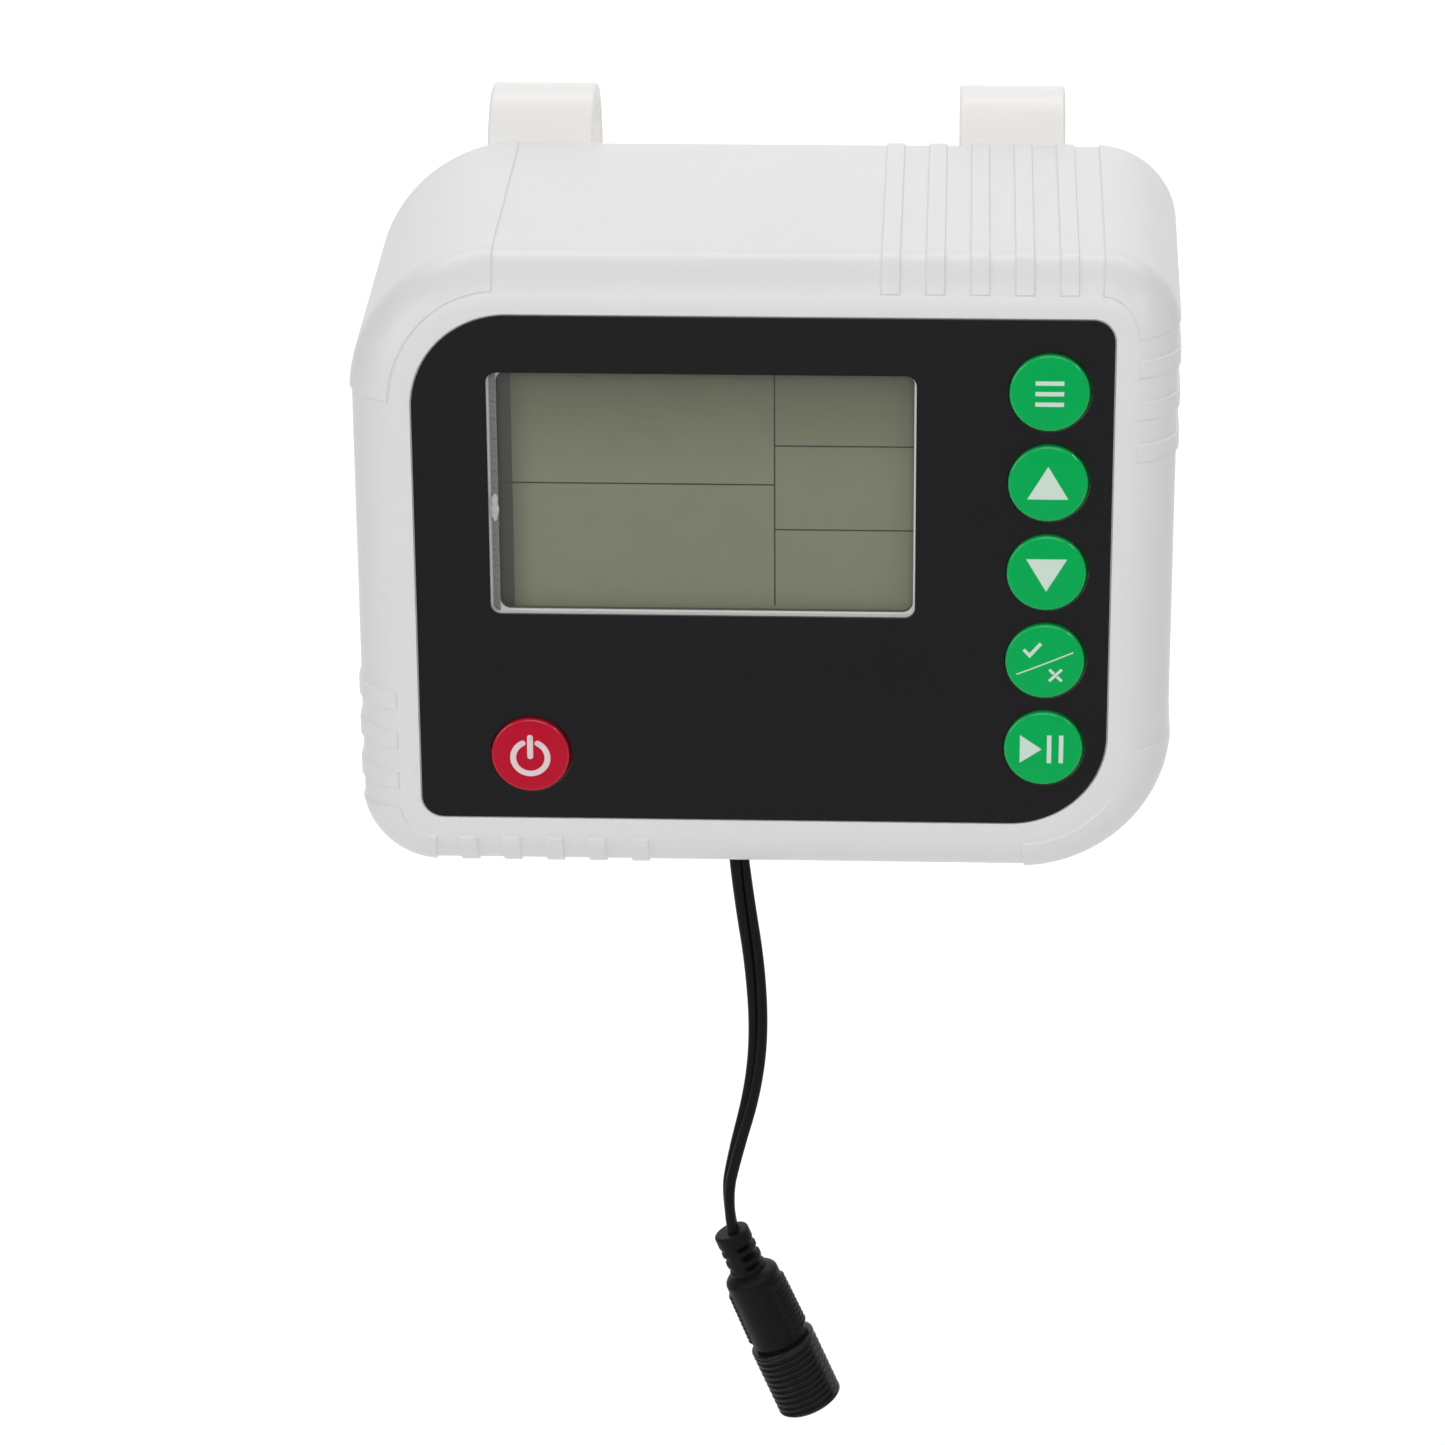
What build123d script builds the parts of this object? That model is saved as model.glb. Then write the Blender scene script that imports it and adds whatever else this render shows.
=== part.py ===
"""Gym round timer that hangs on a bar by two hooks at its back.

Millimetres, +Z up, the display faces -Y. The origin is on the axis of the bar that the
hooks sit on, midway between the two hooks. A depth is measured back from the front face.
"""
import os
from math import cos, pi, radians, sin, tan

from build123d import *

os.makedirs("parts", exist_ok=True)

# ---------------------------------------------------------------- driving dimensions
# Display window in the black overlay, and the margins around it
window_width = 81.5
window_height = 49.0
window_left_margin = 14.3
window_right_margin = 37.2
window_top_margin = 11.25
window_corner = 2.0

# Button column at the right, and the power button at the lower left
button_radius = 7.6
button_spacing = 2.95
button_names = ["menu", "up", "down", "confirm", "start"]
button_top_margin = 14.2
button_bottom_margin = 16.1
button_side_margin = 12.0
power_side_margin = 21.55
power_bottom_margin = 13.4
button_rise = 1.0
button_travel = 0.6
button_gap = 0.4
button_edge = 0.7
cap_wall = 1.4
cap_top = 2.0
stem_wall = 0.25
flange_width = 1.1
cap_flange = 1.2

# Case
border_x = 12.1
border_z = 11.17
panel_rise = 0.82
case_depth = 75.0
draft = 0.9
corner_large = 29.0
corner_small = 15.0
panel_corner_large = 18.5
panel_corner_small = 4.25
edge_radius = 10.0
wall = 2.5
front_wall = 3.0
cover_thick = 3.0

# Raised corner pads and grip ribs on the case
pad_rise = 0.5
pad_gap = 4.5
pad_corner_large = 23.0
pad_corner_small = 6.5
plain_pad_top = 27.5
plain_pad_side = 27.3
rib_width = 3.5
rib_pitch = 8.4
long_row = 5
short_row = 3
rib_start_top = 20.8
rib_start_right = 19.9
rib_start_left = 19.4

# Hooks
bar_radius = 13.5
hook_thick = 3.0
hook_width = 21.2
hook_x = 47.3
bar_below_top = 8.3
hook_plate = 46.0
hook_screw_low = 6.0
hook_screw_pitch = 14.0
hook_leg = 12.0
hook_tip = 6.0
hook_flare = 2.0
hook_edge = 0.8

# Fits and small clearances
panel_gap = 0.25
loose_gap = 0.2
screw_gap = 0.05
body_gap = 0.3
soft_edge = 0.6

# Overlay, lens and display
overlay_thick = 0.6
recess = 0.5
lens_depth = 0.9
lens_thick = 1.2
ledge_left = 1.7
ledge = 0.4
glass_overlap = 3.5
glass_depth = 3.4
glass_thick = 2.8
frame_wall = 2.0
strip_thick = 2.5

# Main board and what stands on it
board_depth = 14.0
board_thick = 1.6
board_margin_x = 6.5
board_margin_z = 5.45
switch_side = 6.2
switch_height = 3.5
plunger_radius = 1.75
plunger_out = 1.5
plunger_in = 0.8
post_radius = 3.5
post_clear = 1.5
chip_spot = (18.0, 4.0)
chip_side = 14.0
chip_height = 1.6
chip_pins = 12
pin_pitch = 1.0
pin_width = 0.4
pin_reach = 1.2
pin_thick = 0.3
capacitor_spots = [(-24.0, 12.0), (-24.0, -1.0)]
capacitor_radius = 4.0
capacitor_height = 11.5

# Fasteners
screw_radius = 1.5
head_radius = 2.8
head_height = 1.8
head_sink = 0.2
cross_depth = 1.0
column_radius = 4.0
thread_length = 9.0

# Loudspeaker
speaker_radius = 25.0
speaker_z = -10.0
speaker_height = 19.0
speaker_flange = 1.2
speaker_rim = 4.5
speaker_boss = 2.6
basket_wall = 1.5
magnet_radius = 14.0
magnet_height = 8.0
cone_paper = 1.0
cone_foot = 9.5
cone_deep = 6.5
dome_radius = 6.0
dome_edge = 3.8
dome_top = 2.8
gasket_thick = 1.0
gasket_width = 3.0
washer_radius = 4.6
washer_thick = 0.8
grille_slot = 2.0
grille_slots = 9
grille_share = 0.8

# Header on the board's back and the small plug in it
header_z = -12.0
header_base = 1.4
header_wall = 1.2
plug_width = 8.0
plug_thick = 6.8
plug_tall = 8.0
plug_grip = 3.0
plug_straight = 11.0

# Lead, bush and connector
lead_radius = 2.1
lead_x = -6.9
lead_depth = 40.0
lead_rise = 17.0
bush_neck = 3.9
bush_lip = 0.6
bush_flange = 5.0
flange_thick = 2.0
plug_tilt = 22.6
plug_roll = 15.0
plug_drop = (-1.66, 0.0, -97.5)
lead_seat = 2.4
plug_edge = 0.4
relief_radius = 3.75
relief_length = 9.8
slot_start = 2.9
slot_pitch = 2.35
slot_width = 1.1
slot_floor = 1.2
slot_count = 3
body_radius = 5.8
body_end_radius = 6.1
body_start = 11.6
body_end = 27.8
body_taper = 1.5
grip_width = 7.2
grip_rise = 0.9
grip_inset = 2.0
grip_corner = 1.5
barrel_radius = 7.0
barrel_wall = 2.0
plug_length = 43.6
insulator_back = 4.0
insulator_inset = 2.0
socket_radius = 2.8
socket_depth = 10.0
pin_radius = 1.05
pin_inset = 0.5

# ---------------------------------------------------------------- sizes that follow
button_pitch = 2 * button_radius + button_spacing
panel_width = window_left_margin + window_width + window_right_margin
panel_height = button_top_margin + (len(button_names) - 1) * button_pitch + button_bottom_margin
case_width = panel_width + 2 * border_x
case_height = panel_height + 2 * border_z

back_y = -(bar_radius + hook_thick)
front_y = back_y - case_depth
case_top = bar_below_top
mid_z = case_top - case_height / 2
case_bottom = mid_z - case_height / 2

window_x = (window_left_margin - window_right_margin) / 2
window_z = panel_height / 2 - window_top_margin - window_height / 2
button_x = panel_width / 2 - button_side_margin
first_button_z = panel_height / 2 - button_top_margin
power_x = -panel_width / 2 + power_side_margin
power_z = -panel_height / 2 + power_bottom_margin

glass_width = window_width + 2 * glass_overlap
glass_height = window_height + 2 * glass_overlap
frame_width = glass_width + 2 * (frame_wall + loose_gap)
frame_height = glass_height + 2 * (frame_wall + loose_gap)
flange_radius = button_radius + flange_width
cover_depth = case_depth - cover_thick
board_back = board_depth + board_thick
switch_top = board_depth - switch_height
plunger_top = switch_top - plunger_out
rib_gap = rib_pitch - rib_width
hook_outer = bar_radius + hook_thick
lead_y = front_y + lead_depth
bush_seat = case_bottom - (lead_depth - bush_flange) * tan(radians(draft))
bush_face = bush_seat - flange_thick


def face_plane(depth, rise=0.0):
    """Plane at a depth behind the front face, facing forward, centred on the case."""
    return Plane(origin=(0, front_y + depth, mid_z + rise), x_dir=(1, 0, 0), z_dir=(0, -1, 0))


def panel_plane(depth):
    """The same, centred on the overlay panel."""
    return face_plane(depth, panel_rise)


def outline(plane, width, height, large, small):
    """Rounded rectangle with large corners at upper left and lower right."""
    x, y = width / 2, height / 2
    with BuildSketch(plane) as shape:
        with BuildLine():
            FilletPolyline(
                (-x, y), (x, y), (x, -y), (-x, -y), radius=[large, small, large, small], close=True
            )
        make_face()
    return shape.sketch


def case_outline(depth, grow):
    """Case outline at a depth, wider the further back for the mould's draft, grown or shrunk all round."""
    grow += depth * tan(radians(draft))
    return outline(
        face_plane(depth), case_width + 2 * grow, case_height + 2 * grow,
        corner_large + grow, corner_small + grow,
    )


def panel_outline(depth, grow):
    """Overlay panel outline, grown or shrunk all round."""
    return outline(
        panel_plane(depth), panel_width + 2 * grow, panel_height + 2 * grow,
        panel_corner_large + grow, panel_corner_small + grow,
    )


def case_block(front, back, grow):
    """Solid between two depths on the case outline, with its front edge rounded."""
    with BuildPart() as block:
        extrude(case_outline(front, grow), amount=front - back, taper=-draft)
        fillet(block.faces().sort_by(Axis.Y)[0].edges(), edge_radius + grow)
    return block.part


def save(piece, name):
    """Label a finished piece and write its STEP file."""
    piece.part.label = name
    export_step(piece.part, f"parts/{name}.step")


def screw_set(plane, spots, length):
    """Cross-head screws with heads behind a plane and shanks along its normal."""
    with BuildPart() as screws:
        with BuildSketch(plane):
            with Locations(*spots):
                Circle(head_radius)
        extrude(amount=-head_height)
        fillet(screws.faces().group_by(Axis(plane.origin, plane.z_dir))[0].edges(), soft_edge)
        with BuildSketch(plane):
            with Locations(*spots):
                Circle(screw_radius)
        extrude(amount=length)
        with BuildSketch(plane.offset(-head_height)):
            with Locations(*spots):
                Rectangle(head_radius, head_radius / 4)
                Rectangle(head_radius / 4, head_radius)
        extrude(amount=cross_depth, mode=Mode.SUBTRACT)
    return screws


# ---------------------------------------------------------------- where things stand
green_spots = [(button_x, first_button_z - i * button_pitch) for i in range(len(button_names))]
power_spot = (power_x, power_z)
button_spots = green_spots + [power_spot]

# Columns for the cover screws stand in the four corners, on the corners' diagonals.
def column_spot(side_x, side_z, corner):
    reach = corner - (corner - wall - head_radius - loose_gap) * cos(radians(45))
    return (side_x * (case_width / 2 - reach), side_z * (case_height / 2 - reach))


column_spots = [
    column_spot(-1, 1, corner_large),
    column_spot(1, 1, corner_small),
    column_spot(1, -1, corner_large),
    column_spot(-1, -1, corner_small),
]

# Board posts stand in the free places between the display frame and the buttons.
frame_right = window_x + frame_width / 2
frame_bottom = window_z - frame_height / 2
post_x = (frame_right + button_x - flange_radius) / 2
post_z = panel_height / 2 - board_margin_z - post_radius - post_clear
post_spots = [
    (post_x, post_z),
    (post_x, -post_z),
    (power_x + flange_radius + 3 * post_radius, -post_z),
    (window_x - frame_width / 2 + post_clear, frame_bottom - post_radius - post_clear),
]

# ---------------------------------------------------------------- case
cavity = case_block(front_wall, case_depth + 1.0, -wall)
pad_envelope = case_block(-pad_rise, case_depth, pad_rise)

pad_along = rib_start_top - rib_width / 2 - rib_gap
with BuildSketch(face_plane(-2 * pad_rise)) as pad_zones:
    for side, rib_start in ((1, rib_start_right), (-1, rib_start_left)):
        half_x, half_z = side * case_width / 2, side * case_height / 2
        with Locations((-half_x, half_z)):
            Rectangle(2 * plain_pad_top, 2 * plain_pad_side)
        with Locations((half_x, half_z)):
            Rectangle(2 * pad_along, 2 * (rib_start - rib_width / 2 - rib_gap))
        long_ribs = [(half_x - side * (rib_start_top + i * rib_pitch), half_z) for i in range(long_row)]
        with Locations(*long_ribs):
            Rectangle(rib_width, 4 * border_z)
        short_ribs = [(half_x, half_z - side * (rib_start + i * rib_pitch)) for i in range(short_row)]
        with Locations(*short_ribs):
            Rectangle(4 * border_x, rib_width)

pad_inner = outline(
    panel_plane(-2 * pad_rise), panel_width + 2 * pad_gap, panel_height + 2 * pad_gap,
    pad_corner_large, pad_corner_small,
)
with BuildPart() as pads:
    add(pad_envelope)
    extrude(pad_inner, amount=-case_depth - 4 * pad_rise, mode=Mode.SUBTRACT)
    extrude(pad_zones.sketch, amount=-case_depth - 4 * pad_rise, mode=Mode.INTERSECT)

with BuildPart() as front_case:
    add(case_block(0, case_depth, 0))
    add(pads.part)
    add(cavity, mode=Mode.SUBTRACT)
    with BuildSketch(face_plane(front_wall)):
        with Locations(*column_spots):
            Circle(column_radius)
    extrude(amount=front_wall - cover_depth)
    with BuildSketch(panel_plane(front_wall)):
        with Locations(*post_spots):
            Circle(post_radius)
    extrude(amount=front_wall - board_depth)
    with BuildSketch(face_plane(cover_depth)):
        with Locations(*column_spots):
            Circle(screw_radius + screw_gap)
    extrude(amount=thread_length, mode=Mode.SUBTRACT)
    with BuildSketch(panel_plane(board_depth)):
        with Locations(*post_spots):
            Circle(screw_radius + screw_gap)
    extrude(amount=thread_length, mode=Mode.SUBTRACT)
    extrude(panel_outline(0, panel_gap), amount=-recess, mode=Mode.SUBTRACT)
    with BuildSketch(panel_plane(0)):
        with Locations(*button_spots):
            Circle(button_radius + button_gap)
    extrude(amount=-front_wall, mode=Mode.SUBTRACT)
    with BuildSketch(panel_plane(0)):
        with Locations((window_x, window_z)):
            RectangleRounded(window_width, window_height, window_corner)
    extrude(amount=-(lens_depth + lens_thick), mode=Mode.SUBTRACT)
    with BuildSketch(panel_plane(0)):
        with Locations((window_x + (ledge_left - ledge) / 2, window_z)):
            RectangleRounded(
                window_width - ledge_left - ledge, window_height - 2 * ledge, window_corner
            )
    extrude(amount=-front_wall - recess, mode=Mode.SUBTRACT)
    with BuildSketch(Plane.XY.offset(bush_seat)):
        with Locations((lead_x, lead_y)):
            Circle(bush_neck + screw_gap)
    extrude(amount=2 * wall, both=True, mode=Mode.SUBTRACT)
    with BuildSketch(Plane.XY.offset(bush_seat)):
        with Locations((lead_x, lead_y)):
            Circle(bush_flange + loose_gap)
    extrude(amount=-flange_thick, mode=Mode.SUBTRACT)
save(front_case, "front_case")

# ---------------------------------------------------------------- back cover and hooks
hook_screw_z = [-hook_plate + hook_screw_low, -hook_plate + hook_screw_low + hook_screw_pitch]
hook_screw_spots = [(side * hook_x, z - mid_z) for side in (-1, 1) for z in hook_screw_z]
speaker_screw_reach = speaker_radius + speaker_boss + loose_gap
speaker_spots = [
    (speaker_screw_reach * cos(radians(angle)), speaker_z + speaker_screw_reach * sin(radians(angle)))
    for angle in (90, 210, 330)
]
speaker_seat = cover_depth - gasket_thick
speaker_boss_height = gasket_thick + speaker_flange

with BuildPart() as back_cover:
    extrude(case_outline(cover_depth, -wall - loose_gap), amount=-cover_thick)
    with BuildSketch(face_plane(cover_depth)):
        with Locations(*hook_screw_spots):
            Circle(post_radius)
    extrude(amount=thread_length)
    with BuildSketch(face_plane(cover_depth)):
        with Locations(*speaker_spots):
            Circle(speaker_boss)
    extrude(amount=speaker_boss_height)
    with BuildSketch(face_plane(case_depth)):
        with Locations(*column_spots):
            Circle(head_radius + loose_gap)
    extrude(amount=head_height + head_sink, mode=Mode.SUBTRACT)
    with BuildSketch(face_plane(case_depth)):
        with Locations(*column_spots):
            Circle(screw_radius + screw_gap)
    extrude(amount=cover_thick, mode=Mode.SUBTRACT)
    with BuildSketch(face_plane(case_depth)):
        with Locations(*hook_screw_spots):
            Circle(screw_radius + screw_gap)
    extrude(amount=thread_length - 1.0 + cover_thick, mode=Mode.SUBTRACT)
    with BuildSketch(face_plane(cover_depth - speaker_boss_height)):
        with Locations(*speaker_spots):
            Circle(screw_radius + screw_gap)
    extrude(amount=-speaker_boss_height - cover_thick / 2 - soft_edge, mode=Mode.SUBTRACT)
    # Sound grille: slots that end on a circle in front of the loudspeaker
    grille_pitch = 2 * grille_share * speaker_radius / (grille_slots + 1)
    with BuildSketch(face_plane(case_depth)):
        for row in range(grille_slots):
            slot_z = (row - (grille_slots - 1) / 2) * grille_pitch
            half = ((grille_share * speaker_radius) ** 2 - slot_z**2) ** 0.5
            with Locations((0, speaker_z + slot_z)):
                SlotOverall(2 * half, grille_slot)
    extrude(amount=cover_thick, mode=Mode.SUBTRACT)
save(back_cover, "back_cover")

cover_screws = screw_set(face_plane(case_depth - head_height - head_sink), column_spots, thread_length)
save(cover_screws, "cover_screws")

for side, name in ((-1, "hook_left"), (1, "hook_right")):
    with BuildPart() as hook:
        with BuildSketch(Plane.YZ.offset(side * hook_x)):
            with BuildLine():
                Polyline(
                    (-bar_radius, 0), (-bar_radius, -hook_plate),
                    (-hook_outer, -hook_plate), (-hook_outer, 0),
                )
                RadiusArc((-hook_outer, 0), (hook_outer, 0), hook_outer)
                Polyline(
                    (hook_outer, 0), (hook_outer, -hook_leg),
                    (hook_outer + hook_flare, -hook_leg - hook_tip),
                    (bar_radius + hook_flare, -hook_leg - hook_tip),
                    (bar_radius, -hook_leg), (bar_radius, 0),
                )
                RadiusArc((bar_radius, 0), (-bar_radius, 0), -bar_radius)
            make_face()
        extrude(amount=hook_width / 2, both=True)
        with BuildSketch(Plane.XZ.offset(bar_radius)):
            with Locations(*[(side * hook_x, z) for z in hook_screw_z]):
                Circle(head_radius + loose_gap)
        extrude(amount=head_height, mode=Mode.SUBTRACT)
        with BuildSketch(Plane.XZ.offset(bar_radius)):
            with Locations(*[(side * hook_x, z) for z in hook_screw_z]):
                Circle(screw_radius + screw_gap)
        extrude(amount=hook_thick, mode=Mode.SUBTRACT)
        for end in (0, -1):
            fillet(hook.faces().sort_by(Axis.X)[end].outer_wire().edges(), hook_edge)
    save(hook, name)

hook_head_plane = face_plane(case_depth + hook_thick - head_height)
hook_screws = screw_set(hook_head_plane, hook_screw_spots, thread_length)
save(hook_screws, "hook_screws")

# ---------------------------------------------------------------- overlay and display
with BuildPart() as overlay_panel:
    extrude(panel_outline(recess, 0), amount=overlay_thick)
    with BuildSketch(panel_plane(recess)):
        with Locations(*button_spots):
            Circle(button_radius + button_gap)
        with Locations((window_x, window_z)):
            RectangleRounded(window_width, window_height, window_corner)
    extrude(amount=overlay_thick, mode=Mode.SUBTRACT)
save(overlay_panel, "overlay_panel")

with BuildPart() as display_lens:
    with BuildSketch(panel_plane(lens_depth)):
        with Locations((window_x, window_z)):
            RectangleRounded(
                window_width - 2 * loose_gap, window_height - 2 * loose_gap, window_corner
            )
    extrude(amount=-lens_thick)
    chamfer(display_lens.faces().sort_by(Axis.Y)[0].edges(), loose_gap)
save(display_lens, "display_lens")

# Two glass plates; the back one is taller, for the contacts at its top and bottom
with BuildPart() as lcd_glass:
    with BuildSketch(panel_plane(glass_depth)):
        with Locations((window_x, window_z)):
            Rectangle(glass_width, glass_height - 2 * strip_thick)
    extrude(amount=-glass_thick / 2)
    with BuildSketch(panel_plane(glass_depth + glass_thick / 2)):
        with Locations((window_x, window_z)):
            Rectangle(glass_width, glass_height)
    extrude(amount=-glass_thick / 2)
save(lcd_glass, "lcd_glass")

glass_back = glass_depth + glass_thick
with BuildPart() as lcd_frame:
    with BuildSketch(panel_plane(glass_depth)):
        with Locations((window_x, window_z)):
            RectangleRounded(frame_width, frame_height, frame_wall / 2)
            Rectangle(
                glass_width + 2 * loose_gap, glass_height + 2 * loose_gap, mode=Mode.SUBTRACT
            )
    extrude(amount=-glass_thick)
    with BuildSketch(panel_plane(glass_back)):
        with Locations((window_x, window_z)):
            RectangleRounded(frame_width, frame_height, frame_wall / 2)
            Rectangle(
                glass_width - 2 * frame_wall, glass_height - 2 * frame_wall, mode=Mode.SUBTRACT
            )
    extrude(amount=glass_back - board_depth)
save(lcd_frame, "lcd_frame")

strip_z = glass_height / 2 - frame_wall - strip_thick
with BuildPart() as zebra_strips:
    with BuildSketch(panel_plane(glass_back)):
        with Locations((window_x, window_z + strip_z), (window_x, window_z - strip_z)):
            Rectangle(0.85 * glass_width, strip_thick)
    extrude(amount=glass_back - board_depth)
save(zebra_strips, "zebra_strips")

# ---------------------------------------------------------------- main board
with BuildPart() as main_board:
    with BuildSketch(panel_plane(board_depth)):
        Rectangle(panel_width - 2 * board_margin_x, panel_height - 2 * board_margin_z)
        with Locations(*post_spots):
            Circle(screw_radius + screw_gap, mode=Mode.SUBTRACT)
    extrude(amount=-board_thick)
save(main_board, "main_board")

board_screws = screw_set(panel_plane(board_back), post_spots, thread_length - board_thick)
save(board_screws, "board_screws")

with BuildPart() as switch_bodies:
    with BuildSketch(panel_plane(switch_top)):
        with Locations(*button_spots):
            Rectangle(switch_side, switch_side)
    extrude(amount=-switch_height)
    with BuildSketch(panel_plane(switch_top)):
        with Locations(*button_spots):
            Circle(plunger_radius + body_gap)
    extrude(amount=-(plunger_in + button_travel + body_gap), mode=Mode.SUBTRACT)
save(switch_bodies, "switch_bodies")

with BuildPart() as controller_chip:
    with BuildSketch(panel_plane(board_back)):
        with Locations(chip_spot):
            Rectangle(chip_side, chip_side)
    extrude(amount=-chip_height)
    chamfer(controller_chip.faces().sort_by(Axis.Y)[-1].edges(), pin_thick)
    with BuildSketch(panel_plane(board_back)):
        for turn in (0, 90):
            with Locations(Location(chip_spot, turn)):
                with GridLocations(pin_pitch, chip_side + pin_reach, chip_pins, 2):
                    Rectangle(pin_width, pin_reach + pin_width)
    extrude(amount=-pin_thick)
save(controller_chip, "controller_chip")

with BuildPart() as capacitors:
    with BuildSketch(panel_plane(board_back)):
        with Locations(*capacitor_spots):
            Circle(capacitor_radius)
    extrude(amount=-capacitor_height)
    fillet(capacitors.faces().group_by(Axis.Y)[-1].edges(), soft_edge)
save(capacitors, "capacitors")

# ---------------------------------------------------------------- push buttons
def make_button(name, spot):
    """Hollow cap with a retaining flange and a stem, and the switch plunger behind it."""
    with BuildPart(panel_plane(0)) as cap:
        with BuildSketch(panel_plane(-button_rise)):
            with Locations(spot):
                Circle(button_radius)
        extrude(amount=-(button_rise + front_wall + body_gap))
        fillet(cap.faces().sort_by(Axis.Y)[0].edges(), button_edge)
        with BuildSketch(panel_plane(front_wall + body_gap)):
            with Locations(spot):
                Circle(flange_radius)
        extrude(amount=-cap_flange)
        with BuildSketch(panel_plane(cap_top - button_rise)):
            with Locations(spot):
                Circle(button_radius - cap_wall)
                Circle(plunger_radius + stem_wall, mode=Mode.SUBTRACT)
        extrude(amount=-(front_wall + cap_flange), mode=Mode.SUBTRACT)
        with BuildSketch(panel_plane(cap_top - button_rise)):
            with Locations(spot):
                Circle(plunger_radius + stem_wall)
        extrude(amount=cap_top - button_rise - plunger_top)
    save(cap, f"{name}_button")
    with BuildPart() as plunger:
        with BuildSketch(panel_plane(plunger_top)):
            with Locations(spot):
                Circle(plunger_radius)
        extrude(amount=-(plunger_out + plunger_in))
    save(plunger, f"{name}_plunger")


for name, spot in zip(button_names + ["power"], button_spots):
    make_button(name, spot)

# ---------------------------------------------------------------- loudspeaker
speaker_plane = Plane(
    origin=(0, front_y + speaker_seat, mid_z + speaker_z), x_dir=(1, 0, 0), z_dir=(0, -1, 0)
)
with BuildPart() as speaker_gasket:
    with BuildSketch(speaker_plane):
        Circle(speaker_radius)
        Circle(speaker_radius - gasket_width, mode=Mode.SUBTRACT)
    extrude(amount=-gasket_thick)
save(speaker_gasket, "speaker_gasket")

# Half sections of the basket and of the cone, turned about the loudspeaker's axis;
# the sketch's X is the radius, its Y points forward from the seat.
section_plane = Plane(origin=speaker_plane.origin, x_dir=(1, 0, 0), z_dir=(0, 0, 1))
basket_inner = speaker_radius - speaker_rim
magnet_front = -speaker_height + magnet_height
with BuildPart() as speaker_basket:
    with BuildSketch(section_plane):
        with BuildLine():
            Polyline(
                (speaker_radius, 0), (speaker_radius, -speaker_flange),
                (basket_inner + basket_wall, -speaker_flange),
                (magnet_radius + 2 * basket_wall, magnet_front), (magnet_radius, magnet_front),
                (magnet_radius, -speaker_height), (0, -speaker_height),
                (0, magnet_front + basket_wall), (magnet_radius + basket_wall, magnet_front + basket_wall),
                (basket_inner, -2 * speaker_flange), (basket_inner, 0), close=True,
            )
        make_face()
    revolve(axis=Axis(speaker_plane.origin, (0, 1, 0)))
save(speaker_basket, "speaker_basket")

cone_edge = basket_inner - body_gap
with BuildPart() as speaker_cone:
    with BuildSketch(section_plane):
        with BuildLine():
            Polyline(
                (cone_edge, -body_gap), (cone_foot, -cone_deep), (dome_radius, -dome_edge),
                (0, -dome_top), (0, -dome_top - cone_paper), (dome_radius, -dome_edge - cone_paper),
                (cone_foot, -cone_deep - cone_paper), (cone_edge, -body_gap - cone_paper), close=True,
            )
        make_face()
    revolve(axis=Axis(speaker_plane.origin, (0, 1, 0)))
save(speaker_cone, "speaker_cone")

# Washers overlap the flange and hold it; their screws go back into the cover.
def speaker_side(depth):
    """Plane at a depth, facing the back cover."""
    return Plane(origin=(0, front_y + depth, mid_z), x_dir=(-1, 0, 0), z_dir=(0, 1, 0))


washer_face = speaker_seat - speaker_flange - washer_thick
with BuildPart() as speaker_washers:
    with BuildSketch(speaker_side(washer_face)):
        with Locations(*speaker_spots):
            Circle(washer_radius)
            Circle(screw_radius + screw_gap, mode=Mode.SUBTRACT)
    extrude(amount=washer_thick)
save(speaker_washers, "speaker_washers")

speaker_screw_length = washer_thick + speaker_boss_height + cover_thick / 2
speaker_screws = screw_set(speaker_side(washer_face), speaker_spots, speaker_screw_length)
save(speaker_screws, "speaker_screws")

# ---------------------------------------------------------------- lead and its bush
with BuildPart() as lead_bush:
    with BuildSketch(Plane.XY.offset(bush_face)):
        with Locations((lead_x, lead_y)):
            Circle(bush_flange)
    extrude(amount=flange_thick)
    fillet(lead_bush.faces().sort_by(Axis.Z)[0].edges(), soft_edge)
    with BuildSketch(Plane.XY.offset(bush_seat)):
        with Locations((lead_x, lead_y)):
            Circle(bush_neck)
    extrude(amount=wall)
    with BuildSketch(Plane.XY.offset(bush_seat + wall)):
        with Locations((lead_x, lead_y)):
            Circle(bush_neck + bush_lip)
    extrude(amount=flange_thick)
    with BuildSketch(Plane.XY.offset(bush_face)):
        with Locations((lead_x, lead_y)):
            Circle(lead_radius + screw_gap)
    extrude(amount=2 * flange_thick + wall, mode=Mode.SUBTRACT)
save(lead_bush, "lead_bush")


def bend_radii(points):
    """Largest easy radius at each corner: 0.45 of the shorter run over the half turn's tangent."""
    radii = []
    for before, corner, after in zip(points, points[1:], points[2:]):
        run_in, run_out = Vector(corner) - Vector(before), Vector(after) - Vector(corner)
        half_turn = radians(run_in.get_angle(run_out) / 2)
        radii.append(0.45 * min(run_in.length, run_out.length) / tan(half_turn))
    return radii


def lead_tube(points):
    """Round lead along straight runs joined by tangent arcs."""
    radii = bend_radii(points)
    print("bend radii", [round(radius, 1) for radius in radii])
    with BuildPart() as tube:
        with BuildLine() as path:
            FilletPolyline(*points, radius=radii)
        start = Vector(points[1]) - Vector(points[0])
        with BuildSketch(Plane(origin=points[0], z_dir=start)):
            Circle(lead_radius)
        sweep()
    length = path.wires()[0].length
    expected = pi * lead_radius**2 * length
    print("length", round(length, 1), "volume ratio", round(tube.part.volume / expected, 4))
    return tube


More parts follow.
